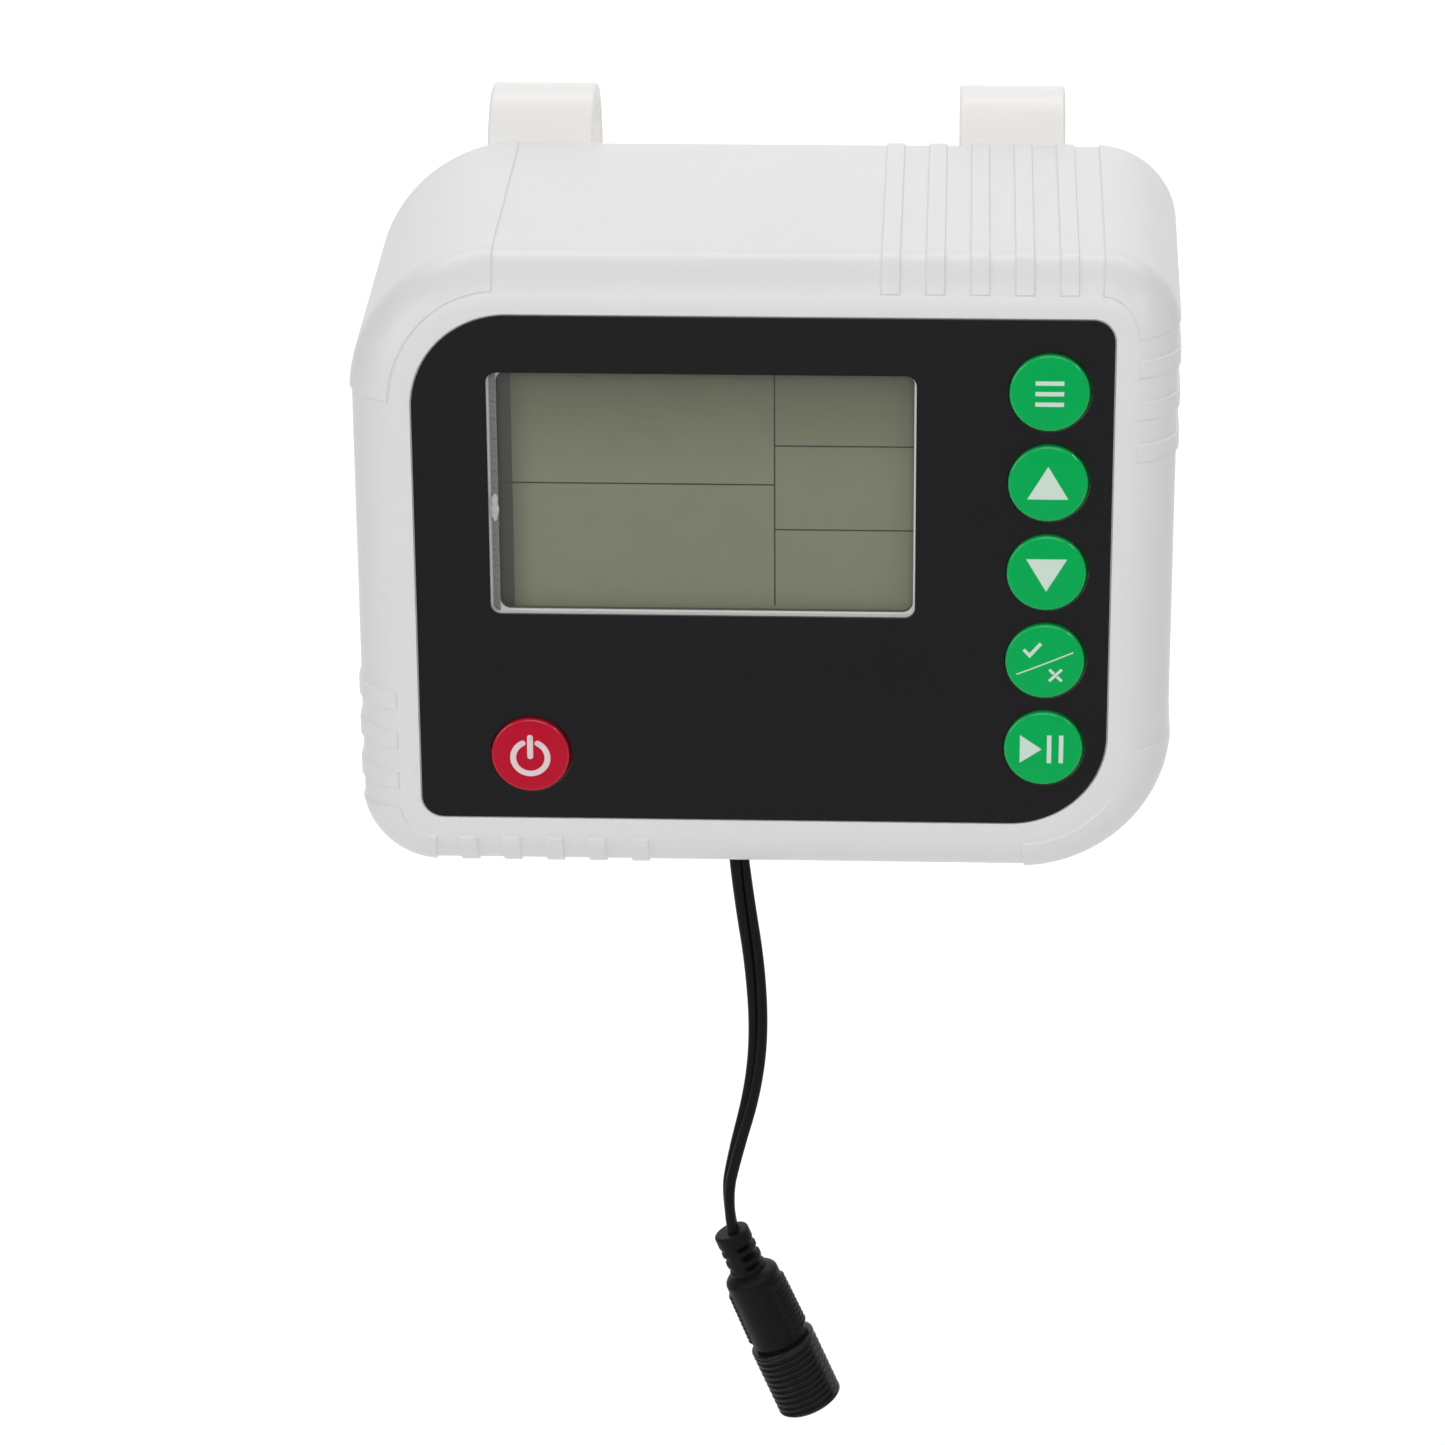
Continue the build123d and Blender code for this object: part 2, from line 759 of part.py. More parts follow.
# Header on the board's back, with the lead's plug pushed into it from below
plug_y = front_y + board_back + header_base + plug_thick / 2
header_plane = Plane(origin=(lead_x, plug_y, mid_z + header_z), x_dir=(1, 0, 0), z_dir=(0, 0, 1))
with BuildPart() as lead_header:
    with BuildSketch(header_plane):
        Rectangle(plug_width + 2 * header_wall, plug_thick + 2 * header_base)
    extrude(amount=plug_tall + header_wall)
    with BuildSketch(header_plane):
        Rectangle(plug_width + 2 * screw_gap, plug_thick + 2 * screw_gap)
    extrude(amount=plug_tall, mode=Mode.SUBTRACT)
save(lead_header, "lead_header")

with BuildPart() as lead_plug:
    with BuildSketch(header_plane.offset(-plug_grip)):
        Rectangle(plug_width, plug_thick)
    extrude(amount=plug_tall + plug_grip)
save(lead_plug, "lead_plug")

# Inside the case the lead rises from the bush, crosses to the board and meets its plug.
inner_top = mid_z + header_z - plug_grip
internal_lead = lead_tube([
    (lead_x, lead_y, bush_face),
    (lead_x, lead_y, bush_face + lead_rise),
    (lead_x, plug_y, inner_top - plug_straight),
    (lead_x, plug_y, inner_top),
])
save(internal_lead, "internal_lead")

# ---------------------------------------------------------------- hanging lead and connector
plug_axis = Vector(sin(radians(plug_tilt)), 0, -cos(radians(plug_tilt)))
lead_exit = Vector(lead_x, lead_y, bush_face)
plug_top = lead_exit + Vector(plug_drop)
lead_end = plug_top + plug_axis * lead_seat - lead_exit

# Route of the hanging lead, measured from where it leaves the bush
lead_route = [
    (0.0, 0.0, 0.0),
    (0.0, 0.0, -7.0),
    (1.5, 0.5, -21.0),
    (3.7, 1.4, -37.0),
    (4.4, 1.6, -52.5),
    (3.0, 1.2, -65.5),
    (-0.5, 0.7, -79.0),
    (-2.7, 0.2, -90.0),
    (lead_end.X, lead_end.Y, lead_end.Z),
]
power_lead = lead_tube([lead_exit + Vector(step) for step in lead_route])
save(power_lead, "power_lead")

# The connector's slotted sides face right and left, turned a little to the front.
plug_side = Vector(cos(radians(plug_tilt)), 0, sin(radians(plug_tilt))).rotate(
    Axis((0, 0, 0), plug_axis), plug_roll
)


def along_plug(distance):
    """Plane square to the connector's axis, X out of its slotted side, at a distance from its top."""
    return Plane(origin=plug_top + plug_axis * distance, x_dir=plug_side, z_dir=plug_axis)


def turned(points):
    """Solid turned about the connector's axis from (distance, radius) pairs."""
    section = Plane(origin=plug_top, x_dir=plug_axis, z_dir=(0, 1, 0))
    with BuildPart() as solid:
        with BuildSketch(section):
            with BuildLine():
                Polyline(*points, close=True)
            make_face()
        revolve(axis=Axis(plug_top, plug_axis))
    return solid.part


insulator_radius = barrel_radius - barrel_wall - screw_gap
insulator_start = body_end - insulator_back
insulator_end = plug_length - insulator_inset
grip_start = body_start + grip_inset
grip_end = body_end - grip_inset
grip_centre = plug_top + plug_axis * (grip_start + grip_end) / 2
with BuildPart() as connector_body:
    add(turned([
        (0, 0), (0, relief_radius - plug_edge), (plug_edge, relief_radius),
        (relief_length, relief_radius + plug_edge / 2),
        (relief_length + plug_edge, body_radius - 3 * plug_edge), (body_start, body_radius),
        (body_end - body_taper, body_end_radius), (body_end, body_end_radius - plug_edge),
        (body_end, 0),
    ]))
    # Three pairs of slots leave a spine on each side, so that the relief can flex
    for i in range(slot_count):
        with BuildSketch(along_plug(slot_start + i * slot_pitch)):
            for side in (-1, 1):
                with Locations((side * (slot_floor + relief_radius / 2), 0)):
                    Rectangle(relief_radius, 3 * relief_radius)
        extrude(amount=slot_width, mode=Mode.SUBTRACT)
    # Grip pads on two sides
    for side in (-1, 1):
        with BuildSketch(Plane(origin=grip_centre, x_dir=plug_axis, z_dir=plug_side * side)):
            RectangleRounded(grip_end - grip_start, grip_width, grip_corner)
        extrude(amount=body_radius + grip_rise)
    with BuildSketch(along_plug(insulator_start)):
        Circle(insulator_radius + screw_gap)
    extrude(amount=body_end - insulator_start, mode=Mode.SUBTRACT)
    add(power_lead.part, mode=Mode.SUBTRACT)
save(connector_body, "connector_body")

with BuildPart() as connector_barrel:
    add(turned([
        (body_end, barrel_radius - barrel_wall), (body_end, barrel_radius - plug_edge),
        (body_end + plug_edge, barrel_radius), (plug_length - 2 * plug_edge, barrel_radius),
        (plug_length, barrel_radius - 2 * plug_edge), (plug_length, barrel_radius - barrel_wall),
    ]))
save(connector_barrel, "connector_barrel")

with BuildPart() as connector_insulator:
    add(turned([
        (insulator_start, 0), (insulator_start, insulator_radius), (insulator_end, insulator_radius),
        (insulator_end, socket_radius), (insulator_end - socket_depth, socket_radius),
        (insulator_end - socket_depth, 0),
    ]))
    with BuildSketch(along_plug(insulator_start)):
        Circle(pin_radius)
    extrude(amount=insulator_end - insulator_start, mode=Mode.SUBTRACT)
save(connector_insulator, "connector_insulator")

with BuildPart() as connector_pin:
    add(turned([
        (insulator_start, 0), (insulator_start, pin_radius),
        (insulator_end - 2 * pin_inset, pin_radius), (insulator_end - pin_inset, pin_radius - pin_inset),
        (insulator_end - pin_inset, 0),
    ]))
save(connector_pin, "connector_pin")
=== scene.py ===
"""Looks of a gym round timer that hangs on a bar: metres, +Z up, the display faces -Y.

The origin is on the axis of the bar that its two hooks sit on, midway between them. The
pieces follow in the order in which the timer is put together.
"""

from math import acos, asin, cos, hypot, pi, radians, sin, tan

import bmesh
import bpy
from mathutils import Matrix, Vector


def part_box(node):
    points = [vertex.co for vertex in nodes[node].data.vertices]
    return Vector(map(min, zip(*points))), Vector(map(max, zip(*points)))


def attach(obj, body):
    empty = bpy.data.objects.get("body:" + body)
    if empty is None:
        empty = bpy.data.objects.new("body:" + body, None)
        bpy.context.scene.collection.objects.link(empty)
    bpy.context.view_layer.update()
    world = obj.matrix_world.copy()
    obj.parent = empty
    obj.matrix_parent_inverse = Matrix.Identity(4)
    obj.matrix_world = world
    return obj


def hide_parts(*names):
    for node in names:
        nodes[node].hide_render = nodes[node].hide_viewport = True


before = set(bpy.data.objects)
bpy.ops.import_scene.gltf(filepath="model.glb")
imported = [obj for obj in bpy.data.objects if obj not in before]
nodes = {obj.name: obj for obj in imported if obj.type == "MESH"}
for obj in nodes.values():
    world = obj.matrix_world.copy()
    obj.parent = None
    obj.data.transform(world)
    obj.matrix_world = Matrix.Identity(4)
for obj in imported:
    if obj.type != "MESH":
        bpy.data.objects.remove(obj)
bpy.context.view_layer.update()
mm = 0.001

# ------------------------------------------------------------------ front case
# One deep box moulded in white plastic, open at the back. Its front edge is well rounded,
# and raised pads on the corners and rows of low ribs between them give the hands a grip.


class Signal:
    """One socket of a material's nodes. Arithmetic on it adds Math nodes to that material."""

    def __init__(self, socket):
        self.socket = socket

    def node(self, kind, inputs, output=0, **settings):
        """The output of a new node: its settings first, then values or links for its sockets."""
        made = self.socket.id_data.nodes.new(kind)
        for name, value in settings.items():
            setattr(made, name, value)
        for name, value in inputs.items():
            if isinstance(value, Signal):
                self.socket.id_data.links.new(value.socket, made.inputs[name])
            else:
                made.inputs[name].default_value = value
        return Signal(made.outputs[output])

    def maths(self, operation, *values):
        return self.node("ShaderNodeMath", dict(enumerate(values)), operation=operation)

    def __add__(self, other):
        return self.maths("ADD", self, other)

    def __sub__(self, other):
        return self.maths("SUBTRACT", self, other)

    def __mul__(self, other):
        return self.maths("MULTIPLY", self, other)

    def __rsub__(self, other):
        return self.maths("SUBTRACT", other, self)

    __radd__ = __add__
    __rmul__ = __mul__

    def clamp(self):
        return self.node("ShaderNodeClamp", {"Value": self})

    def axis(self, number):
        """One coordinate of this vector: 0, 1 or 2 for x, y or z."""
        return self.node("ShaderNodeSeparateXYZ", {0: self}, output=number)

    def fade(self, start, end, first, last, way="LINEAR"):
        """Change from one value to another while this signal goes from a start to an end."""
        return self.node(
            "ShaderNodeMapRange", {0: self, 1: start, 2: end, 3: first, 4: last}, interpolation_type=way)

    def noise(self, size, detail=2.0, stretch=(1, 1, 1)):
        """Soft noise from 0 to 1 with spots of about that size, on these coordinates."""
        place = self.node("ShaderNodeVectorMath", {0: self, 1: stretch}, operation="MULTIPLY")
        return self.node("ShaderNodeTexNoise", {"Vector": place, "Scale": 1 / size, "Detail": detail})

    def mix(self, first, second):
        """Colour between two, by this signal as the share of the second."""
        return self.node("ShaderNodeMix", {"Factor": self, 6: first, 7: second}, output=2, data_type="RGBA")

    def bump(self, height):
        """Surface normal for this height signal, of that height in metres."""
        return self.node("ShaderNodeBump", {"Height": self, "Distance": height, "Strength": 1.0})


def finish(name, **constants):
    """A new material with constants on its shader; gives the material, its shader and its place."""
    material = bpy.data.materials.new(name)
    material.use_nodes = True
    shader = material.node_tree.nodes["Principled BSDF"]
    for socket, value in constants.items():
        shader.inputs[socket.replace("_", " ")].default_value = value
    place = Signal(material.node_tree.nodes.new("ShaderNodeTexCoord").outputs["Object"])
    return material, shader, place


def drive(shader, **signals):
    """Links signals to the shader's sockets."""
    for socket, signal in signals.items():
        shader.id_data.links.new(signal.socket, shader.inputs[socket.replace("_", " ")])


def front_on(place):
    """How squarely a surface faces the front or the back: 1 when flat on, 0 at a side."""
    normal = place.node("ShaderNodeNewGeometry", {}, output=1)
    return normal.maths("ABSOLUTE", normal.axis(1))


def moulded(name, colour, roughness, grain=0.35 * mm, depth=0.006 * mm, **constants):
    """Moulded plastic: a faint flow-marked tone, uneven gloss and a fine grain."""
    material, shader, place = finish(name, Roughness=roughness, **constants)
    darker = [0.965 * part for part in colour]
    drive(
        shader,
        Base_Color=place.noise(22 * mm, detail=3.0).mix((*colour, 1), (*darker, 1)),
        Roughness=place.noise(3 * mm) * 0.10 + (roughness - 0.05),
        Normal=place.noise(grain, detail=4.0).bump(depth),
    )
    return material


def skin(name, rings, wrap=False):
    """Mesh of quads between closed rings of points, its ends capped or its last ring joined on."""
    made = bmesh.new()
    rows = [[made.verts.new(point) for point in ring] for ring in rings]
    pairs = list(zip(rows, rows[1:])) + ([(rows[-1], rows[0])] if wrap else [])
    for low, high in pairs:
        for i in range(len(low)):
            j = (i + 1) % len(low)
            made.faces.new((low[i], low[j], high[j], high[i]))
    if not wrap:
        made.faces.new(rows[0][::-1])
        made.faces.new(rows[-1])
    bmesh.ops.recalc_face_normals(made, faces=made.faces)
    mesh = bpy.data.meshes.new(name)
    made.to_mesh(mesh)
    made.free()
    return mesh


def crease(mesh, angle):
    """Shades a mesh smooth, apart from edges sharper than an angle in degrees."""
    made = bmesh.new()
    made.from_mesh(mesh)
    for face in made.faces:
        face.smooth = True
    for edge in made.edges:
        edge.smooth = len(edge.link_faces) == 2 and edge.calc_face_angle() < radians(angle)
    made.to_mesh(mesh)
    made.free()


def fit(name, mesh, material, body="case", stands_for=(), angle=38):
    """Puts a finished mesh on its body as a piece of the timer."""
    crease(mesh, angle)
    mesh.materials.clear()
    mesh.materials.append(material)
    piece = bpy.data.objects.new(name, mesh)
    bpy.context.scene.collection.objects.link(piece)
    even = piece.modifiers.new("even_normals", "WEIGHTED_NORMAL")
    even.keep_sharp = True
    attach(piece, body)
    if stands_for:
        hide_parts(*stands_for)
    return piece


def cut(mesh, cutters):
    """The mesh with closed cutter meshes taken away from it."""
    solid = bpy.data.objects.new("solid", mesh)
    bpy.context.scene.collection.objects.link(solid)
    tools = []
    for cutter in cutters:
        tool = bpy.data.objects.new("tool", cutter)
        bpy.context.scene.collection.objects.link(tool)
        taken = solid.modifiers.new("cut", "BOOLEAN")
        taken.operation = "DIFFERENCE"
        taken.solver = "EXACT"
        taken.object = tool
        tools.append(tool)
    bpy.context.view_layer.update()
    view = bpy.context.evaluated_depsgraph_get()
    made = bpy.data.meshes.new_from_object(solid.evaluated_get(view))
    made.name = mesh.name
    for used in [solid] + tools:
        bpy.data.objects.remove(used)
    return made


pad_rise = 0.5 * mm
case_depth = 75.0 * mm
draft_slope = tan(radians(0.9))
case_low, case_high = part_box("front_case")
half_width = (case_high.x - case_low.x) / 2 - pad_rise - case_depth * draft_slope
half_height = (case_high.z - case_low.z) / 2 - pad_rise - case_depth * draft_slope
mid_z = (case_high.z + case_low.z) / 2
front_y = case_high.y - case_depth
corner_large, corner_small = 29.0 * mm, 15.0 * mm
edge_radius = 10.0 * mm
wall, front_wall = 2.5 * mm, 3.0 * mm

panel_low, panel_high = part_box("overlay_panel")
panel_half_width = (panel_high.x - panel_low.x) / 2
panel_half_height = (panel_high.z - panel_low.z) / 2
panel_rise = (panel_high.z + panel_low.z) / 2 - mid_z
panel_large, panel_small = 18.5 * mm, 4.25 * mm
panel_gap, recess = 0.25 * mm, 0.5 * mm

pad_gap = 4.5 * mm
pad_band = {
    "top": half_height - panel_half_height - panel_rise - pad_gap,
    "right": half_width - panel_half_width - pad_gap,
    "bottom": half_height - panel_half_height + panel_rise - pad_gap,
    "left": half_width - panel_half_width - pad_gap,
}
plain_pad = {"long": 27.5 * mm, "short": 27.3 * mm}
rib_width, rib_pitch = 3.5 * mm, 8.4 * mm
rib_start = {"top": 20.8 * mm, "right": 19.9 * mm, "bottom": 20.8 * mm, "left": 19.4 * mm}
rib_count = {"top": 5, "right": 3, "bottom": 5, "left": 3}
step_width = 0.34 * mm
step_places = [(i / 6 - 0.5) * step_width for i in range(7)]


def step(distance, width=step_width):
    """Smooth rise from 0 to 1 across a soft edge of that width."""
    share = min(1.0, max(0.0, distance / width + 0.5))
    return share * share * (3 - 2 * share)


def side_runs():
    """The four sides in order round the case, each with its way, its outward side and its corners."""
    sides = {
        "top": ((1, 0), (0, 1), half_width, half_height, corner_large, corner_small),
        "right": ((0, -1), (1, 0), half_height, half_width, corner_small, corner_large),
        "bottom": ((-1, 0), (0, -1), half_width, half_height, corner_large, corner_small),
        "left": ((0, 1), (-1, 0), half_height, half_width, corner_small, corner_large),
    }
    return sides.items()


def case_stations():
    """Places round the outline: case and panel points, the way out, the relief and the pads' end."""
    stations = []
    following = {"top": "right", "right": "bottom", "bottom": "left", "left": "top"}
    for name, (way, out, half, reach, behind, ahead) in side_runs():
        way, out = Vector(way), Vector(out)
        level = name in ("top", "bottom")
        panel_half = panel_half_width if level else panel_half_height
        panel_reach = panel_half_height if level else panel_half_width
        panel_behind = panel_large if behind == corner_large else panel_small
        panel_ahead = panel_large if ahead == corner_large else panel_small
        shift = Vector((0, panel_rise))
        sign = 1 if level else -1
        centres = [sign * (half - rib_start[name] - i * rib_pitch) for i in range(rib_count[name])]
        edges = sorted(c + s * rib_width / 2 for c in centres for s in (-1, 1))
        start, end = -half + behind, half - ahead
        places = [start + (end - start) * i / 12 for i in range(13)]
        places = [p for p in places if all(abs(p - e) > step_width for e in edges)]
        places = sorted(places + [e + s for e in edges for s in step_places])
        for place in places:
            relief = sum(step(place - e) * (1 if k % 2 == 0 else -1) for k, e in enumerate(edges))
            share = (place - start) / (end - start)
            panel_start, panel_end = -panel_half + panel_behind, panel_half - panel_ahead
            panel_place = panel_start + (panel_end - panel_start) * share
            stations.append((
                way * place + out * reach, way * panel_place + out * panel_reach + shift, out, relief,
                acos(1 - pad_band[name] / edge_radius),
            ))
        # The corner ahead, with its pad between two soft edges
        if ahead == corner_large:
            pad_in, pad_out = (plain_pad["long"], plain_pad["short"]) if level else (
                plain_pad["short"], plain_pad["long"])
        else:
            gap = rib_width / 2 + rib_pitch - rib_width
            pad_in, pad_out = rib_start[name] - gap, rib_start[following[name]] - gap
        first = asin((ahead - pad_in) / ahead)
        last = pi / 2 - asin((ahead - pad_out) / ahead)
        turns = [pi / 2 * (i + 1) / 18 for i in range(17)]
        turns = [t for t in turns if all(abs(t - e) * ahead > step_width for e in (first, last))]
        turns = sorted(turns + [e + s / ahead for e in (first, last) for s in step_places])
        centre = way * (half - ahead) + out * (reach - ahead)
        panel_centre = way * (panel_half - panel_ahead) + out * (panel_reach - panel_ahead) + shift
        for turn in turns:
            aim = way * sin(turn) + out * cos(turn)
            relief = step((turn - first) * ahead) - step((turn - last) * ahead)
            band = pad_band[name] * cos(turn) ** 2 + pad_band[following[name]] * sin(turn) ** 2
            stations.append((
                centre + aim * ahead, panel_centre + aim * panel_ahead, aim, relief,
                acos(1 - band / edge_radius),
            ))
    return stations


stations = case_stations()


def case_ring(inset, depth, lift=0.0):
    """Ring on the case's outline at a depth, wider further back, inset, with its relief raised by lift."""
    ring = []
    for point, _, out, relief, _ in stations:
        flat = point + out * (depth * draft_slope + lift * relief - inset)
        ring.append((flat.x, front_y + depth, mid_z + flat.y))
    return ring


def edge_ring(share, offset=0.0):
    """Ring on the rounded front edge: share 0 at the side, 1 at the pads' end, 2 at the flat front."""
    ring = []
    for point, _, out, relief, pad_end in stations:
        turn = pad_end * min(share, 1) + (pi / 2 - pad_end) * max(share - 1, 0) + offset / edge_radius
        rise = pad_rise * relief * (1 - step((turn - pad_end) * edge_radius))
        depth = edge_radius - (edge_radius + rise) * sin(turn)
        flat = point + out * (depth * draft_slope - edge_radius + (edge_radius + rise) * cos(turn))
        ring.append((flat.x, front_y + depth, mid_z + flat.y))
    return ring


def panel_ring(grow, depth):
    """Ring on the panel's outline, grown by a gap."""
    ring = []
    for _, point, out, _, _ in stations:
        flat = point + out * grow
        ring.append((flat.x, front_y + depth, mid_z + flat.y))
    return ring


rim_round = 0.4 * mm
inner_radius = edge_radius - wall
rings = [case_ring(wall, case_depth), case_ring(rim_round, case_depth, pad_rise)]
rings.append(case_ring(0.3 * rim_round, case_depth - 0.3 * rim_round, pad_rise))
rings.append(case_ring(0, case_depth - rim_round, pad_rise))
rings += [case_ring(0, i / 5 * case_depth, pad_rise) for i in (4, 3, 2, 1)]
rings += [edge_ring(i / 10) for i in range(10)]
rings += [edge_ring(1, offset) for offset in step_places]
rings += [edge_ring(share) for share in (1.25, 1.5, 1.75, 2)]
brink = 0.12 * mm
rings += [panel_ring(panel_gap + brink, 0), panel_ring(panel_gap, brink), panel_ring(panel_gap, recess)]
inner = [case_ring(wall, case_depth - 1.0 * mm), case_ring(wall, edge_radius)]
for i in range(1, 7):
    turn = pi / 2 * i / 6
    inset = edge_radius - inner_radius * cos(turn)
    inner.append(case_ring(inset, edge_radius - (edge_radius - front_wall) * sin(turn)))
case_mesh = skin("case_shell", inner[::-1] + rings)


def rounded(centre_x, centre_z, width, height, radius):
    """Outline of an upright rectangle with rounded corners."""
    outline = []
    for corner, (side_x, side_z) in enumerate(((1, 1), (-1, 1), (-1, -1), (1, -1))):
        for i in range(9):
            turn = pi / 2 * (corner + i / 8)
            outline.append((
                centre_x + side_x * (width / 2 - radius) + radius * cos(turn),
                centre_z + side_z * (height / 2 - radius) + radius * sin(turn),
            ))
    return outline


def circle(x, z, radius, sides=96):
    """Outline of an upright circle."""
    turns = [2 * pi * i / sides for i in range(sides)]
    return [(x + radius * cos(t), z + radius * sin(t)) for t in turns]


def block(name, outline, front, back):
    """Closed block of that outline between two depths, to cut with or to show."""
    return skin(name, [[(x, front_y + depth, z) for x, z in outline] for depth in (front, back)])


# The display window's pocket and hole and the button holes are cut through.
lens_low, lens_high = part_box("display_lens")
lens_gap = 0.2 * mm
window_width = lens_high.x - lens_low.x + 2 * lens_gap
window_height = lens_high.z - lens_low.z + 2 * lens_gap
window_x, window_z = (lens_high.x + lens_low.x) / 2, (lens_high.z + lens_low.z) / 2
window_corner = 2.0 * mm
lens_back = lens_high.y - front_y
ledge_left, ledge = 1.7 * mm, 0.4 * mm
opening_x = window_x + (ledge_left - ledge) / 2
opening_width, opening_height = window_width - ledge_left - ledge, window_height - 2 * ledge
past = 2.0 * mm

button_gap = 0.4 * mm
button_places = {}
for name in ("menu", "up", "down", "confirm", "start", "power"):
    low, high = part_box(f"{name}_plunger")
    button_places[name] = ((low.x + high.x) / 2, (low.z + high.z) / 2)
flange_width = 1.1 * mm
flange_low, flange_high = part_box("menu_button")
button_radius = (flange_high.x - flange_low.x) / 2 - flange_width
hole_radius = button_radius + button_gap

window_outline = rounded(window_x, window_z, window_width, window_height, window_corner)
opening = rounded(opening_x, window_z, opening_width, opening_height, window_corner)
case_mesh = cut(case_mesh, [
    block("pocket", window_outline, recess - past, lens_back),
    block("through", opening, lens_back - past / 4, front_wall + past),
] + [
    block(f"{name}_hole", circle(x, z, hole_radius), recess - past, front_wall + past)
    for name, (x, z) in button_places.items()
])
white_plastic = moulded("white_plastic", (0.80, 0.80, 0.81), 0.36)
fit("case_shell", case_mesh, white_plastic, stands_for=["front_case"], angle=50)

# ------------------------------------------------------------------ display, lens and overlay
# A grey-green liquid crystal glass in a black frame sits behind a clear plastic lens. The
# front is a matt black printed sheet, let into the case and cut out for lens and buttons.
frame_black = moulded("frame_black", (0.022, 0.022, 0.023), 0.5)
strip_rubber = moulded("strip_rubber", (0.09, 0.09, 0.10), 0.7)


def dress(material, *names):
    """Gives CAD pieces their material."""
    for name in names:
        nodes[name].data.materials.clear()
        nodes[name].data.materials.append(material)


dress(frame_black, "lcd_frame", "switch_bodies", "controller_chip")
dress(strip_rubber, "zebra_strips", "speaker_gasket")

# The display's glass, with a faint brushed sheen painted into its colour, painted shade darkening it towards
# the top and towards the left, and a dark strip at its left
lcd_low, lcd_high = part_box("lcd_glass")
glass, glass_shader, place = finish("lcd_glass", IOR=1.25)
streak = place.noise(0.25 * mm, detail=2.0, stretch=(1, 1, 0.04))
cloud = place.noise(18 * mm, detail=2.0)
window_left, window_right = window_x - window_width / 2, window_x + window_width / 2
window_bottom, window_top = window_z - window_height / 2, window_z + window_height / 2
# Painted shade: the glass's colour darkens towards the top, where the case above shades it, and towards its
# left edge
painted_top_shade = place.axis(2).fade(window_z, window_top, 0.0, 1.0, way="SMOOTHSTEP")
left_shade = place.axis(0).fade(window_left + 3.5 * mm, window_left + 9 * mm, 1.0, 0.0, way="SMOOTHSTEP")
base = (streak * 0.35 + cloud * 0.4).clamp().mix((0.236, 0.250, 0.176, 1), (0.258, 0.273, 0.192, 1))
base = (painted_top_shade * 0.8).mix(base, (0.138, 0.143, 0.101, 1))
drive(
    glass_shader,
    Base_Color=(left_shade * 0.7).mix(base, (0.140, 0.143, 0.110, 1)),
    Roughness=cloud * 0.1 + 0.30,
)
dress(glass, "lcd_glass")

half_line = 0.14 * mm
print_depth = 0.03 * mm
glass_depth = lcd_low.y - front_y
line_left, line_x = window_left + 3.0 * mm, window_x + 13.8 * mm
row_left, row_upper, row_lower = window_z + 1.2 * mm, window_z + 9.1 * mm, window_z - 7.9 * mm
left_strip_right = window_left + 4.4 * mm


def printed(name, x0, x1, z0, z1, thick=print_depth):
    """Rectangle of ink on the front of the glass."""
    return block(name, [(x0, z0), (x1, z0), (x1, z1), (x0, z1)], glass_depth - thick, glass_depth)


def joined(name, meshes):
    """One mesh from several."""
    made = bmesh.new()
    for mesh in meshes:
        made.from_mesh(mesh)
    mesh = bpy.data.meshes.new(name)
    made.to_mesh(mesh)
    made.free()
    return mesh


ink, ink_shader, place = finish("display_ink", Roughness=0.45)
drive(ink_shader, Base_Color=place.noise(2 * mm).mix((0.030, 0.034, 0.030, 1), (0.040, 0.044, 0.038, 1)))
lines = joined("display_lines", [
    printed("upright", line_x - half_line, line_x + half_line, window_bottom + 1.0 * mm, window_top),
    printed("left_row", line_left, line_x, row_left - half_line, row_left + half_line),
    printed("upper_row", line_x, window_right, row_upper - half_line, row_upper + half_line),
    printed("lower_row", line_x, window_right, row_lower - half_line, row_lower + half_line),
])
fit("display_lines", lines, ink)

# A dark strip along the left edge of the glass, a thin layer on its front
left_strip_ink, left_strip_shader, place = finish("display_left_strip", Roughness=0.5)
drive(left_strip_shader, Base_Color=place.noise(1.5 * mm).mix((0.062, 0.066, 0.056, 1), (0.076, 0.080, 0.068, 1)))
left_strip = printed("display_left_strip", lcd_low.x, left_strip_right, lcd_low.z, lcd_high.z, thick=print_depth / 2)
fit("display_left_strip", left_strip, left_strip_ink)

# A dark ring lining the hole between the lens and the glass: painted shade over the case's white walls of
# the opening
gap_shade_ink, gap_shade_shader, place = finish("display_gap_shade", Roughness=0.6)
drive(gap_shade_shader, Base_Color=place.noise(2 * mm).mix((0.120, 0.124, 0.096, 1), (0.140, 0.144, 0.112, 1)))
gap_shade_out, gap_shade_in = 0.02 * mm, 0.10 * mm
gap_shade_front, gap_shade_back = lens_back + 0.03 * mm, front_wall
gap_shade_rings = []
for inset, depth in (
    (gap_shade_out, gap_shade_front), (gap_shade_out, gap_shade_back), (gap_shade_in, gap_shade_back), (gap_shade_in, gap_shade_front),
):
    outline = rounded(
        opening_x, window_z, opening_width - 2 * inset, opening_height - 2 * inset, window_corner - inset)
    gap_shade_rings.append([(x, front_y + depth, z) for x, z in outline])
fit("display_gap_shade", skin("display_gap_shade", gap_shade_rings, wrap=True), gap_shade_ink)

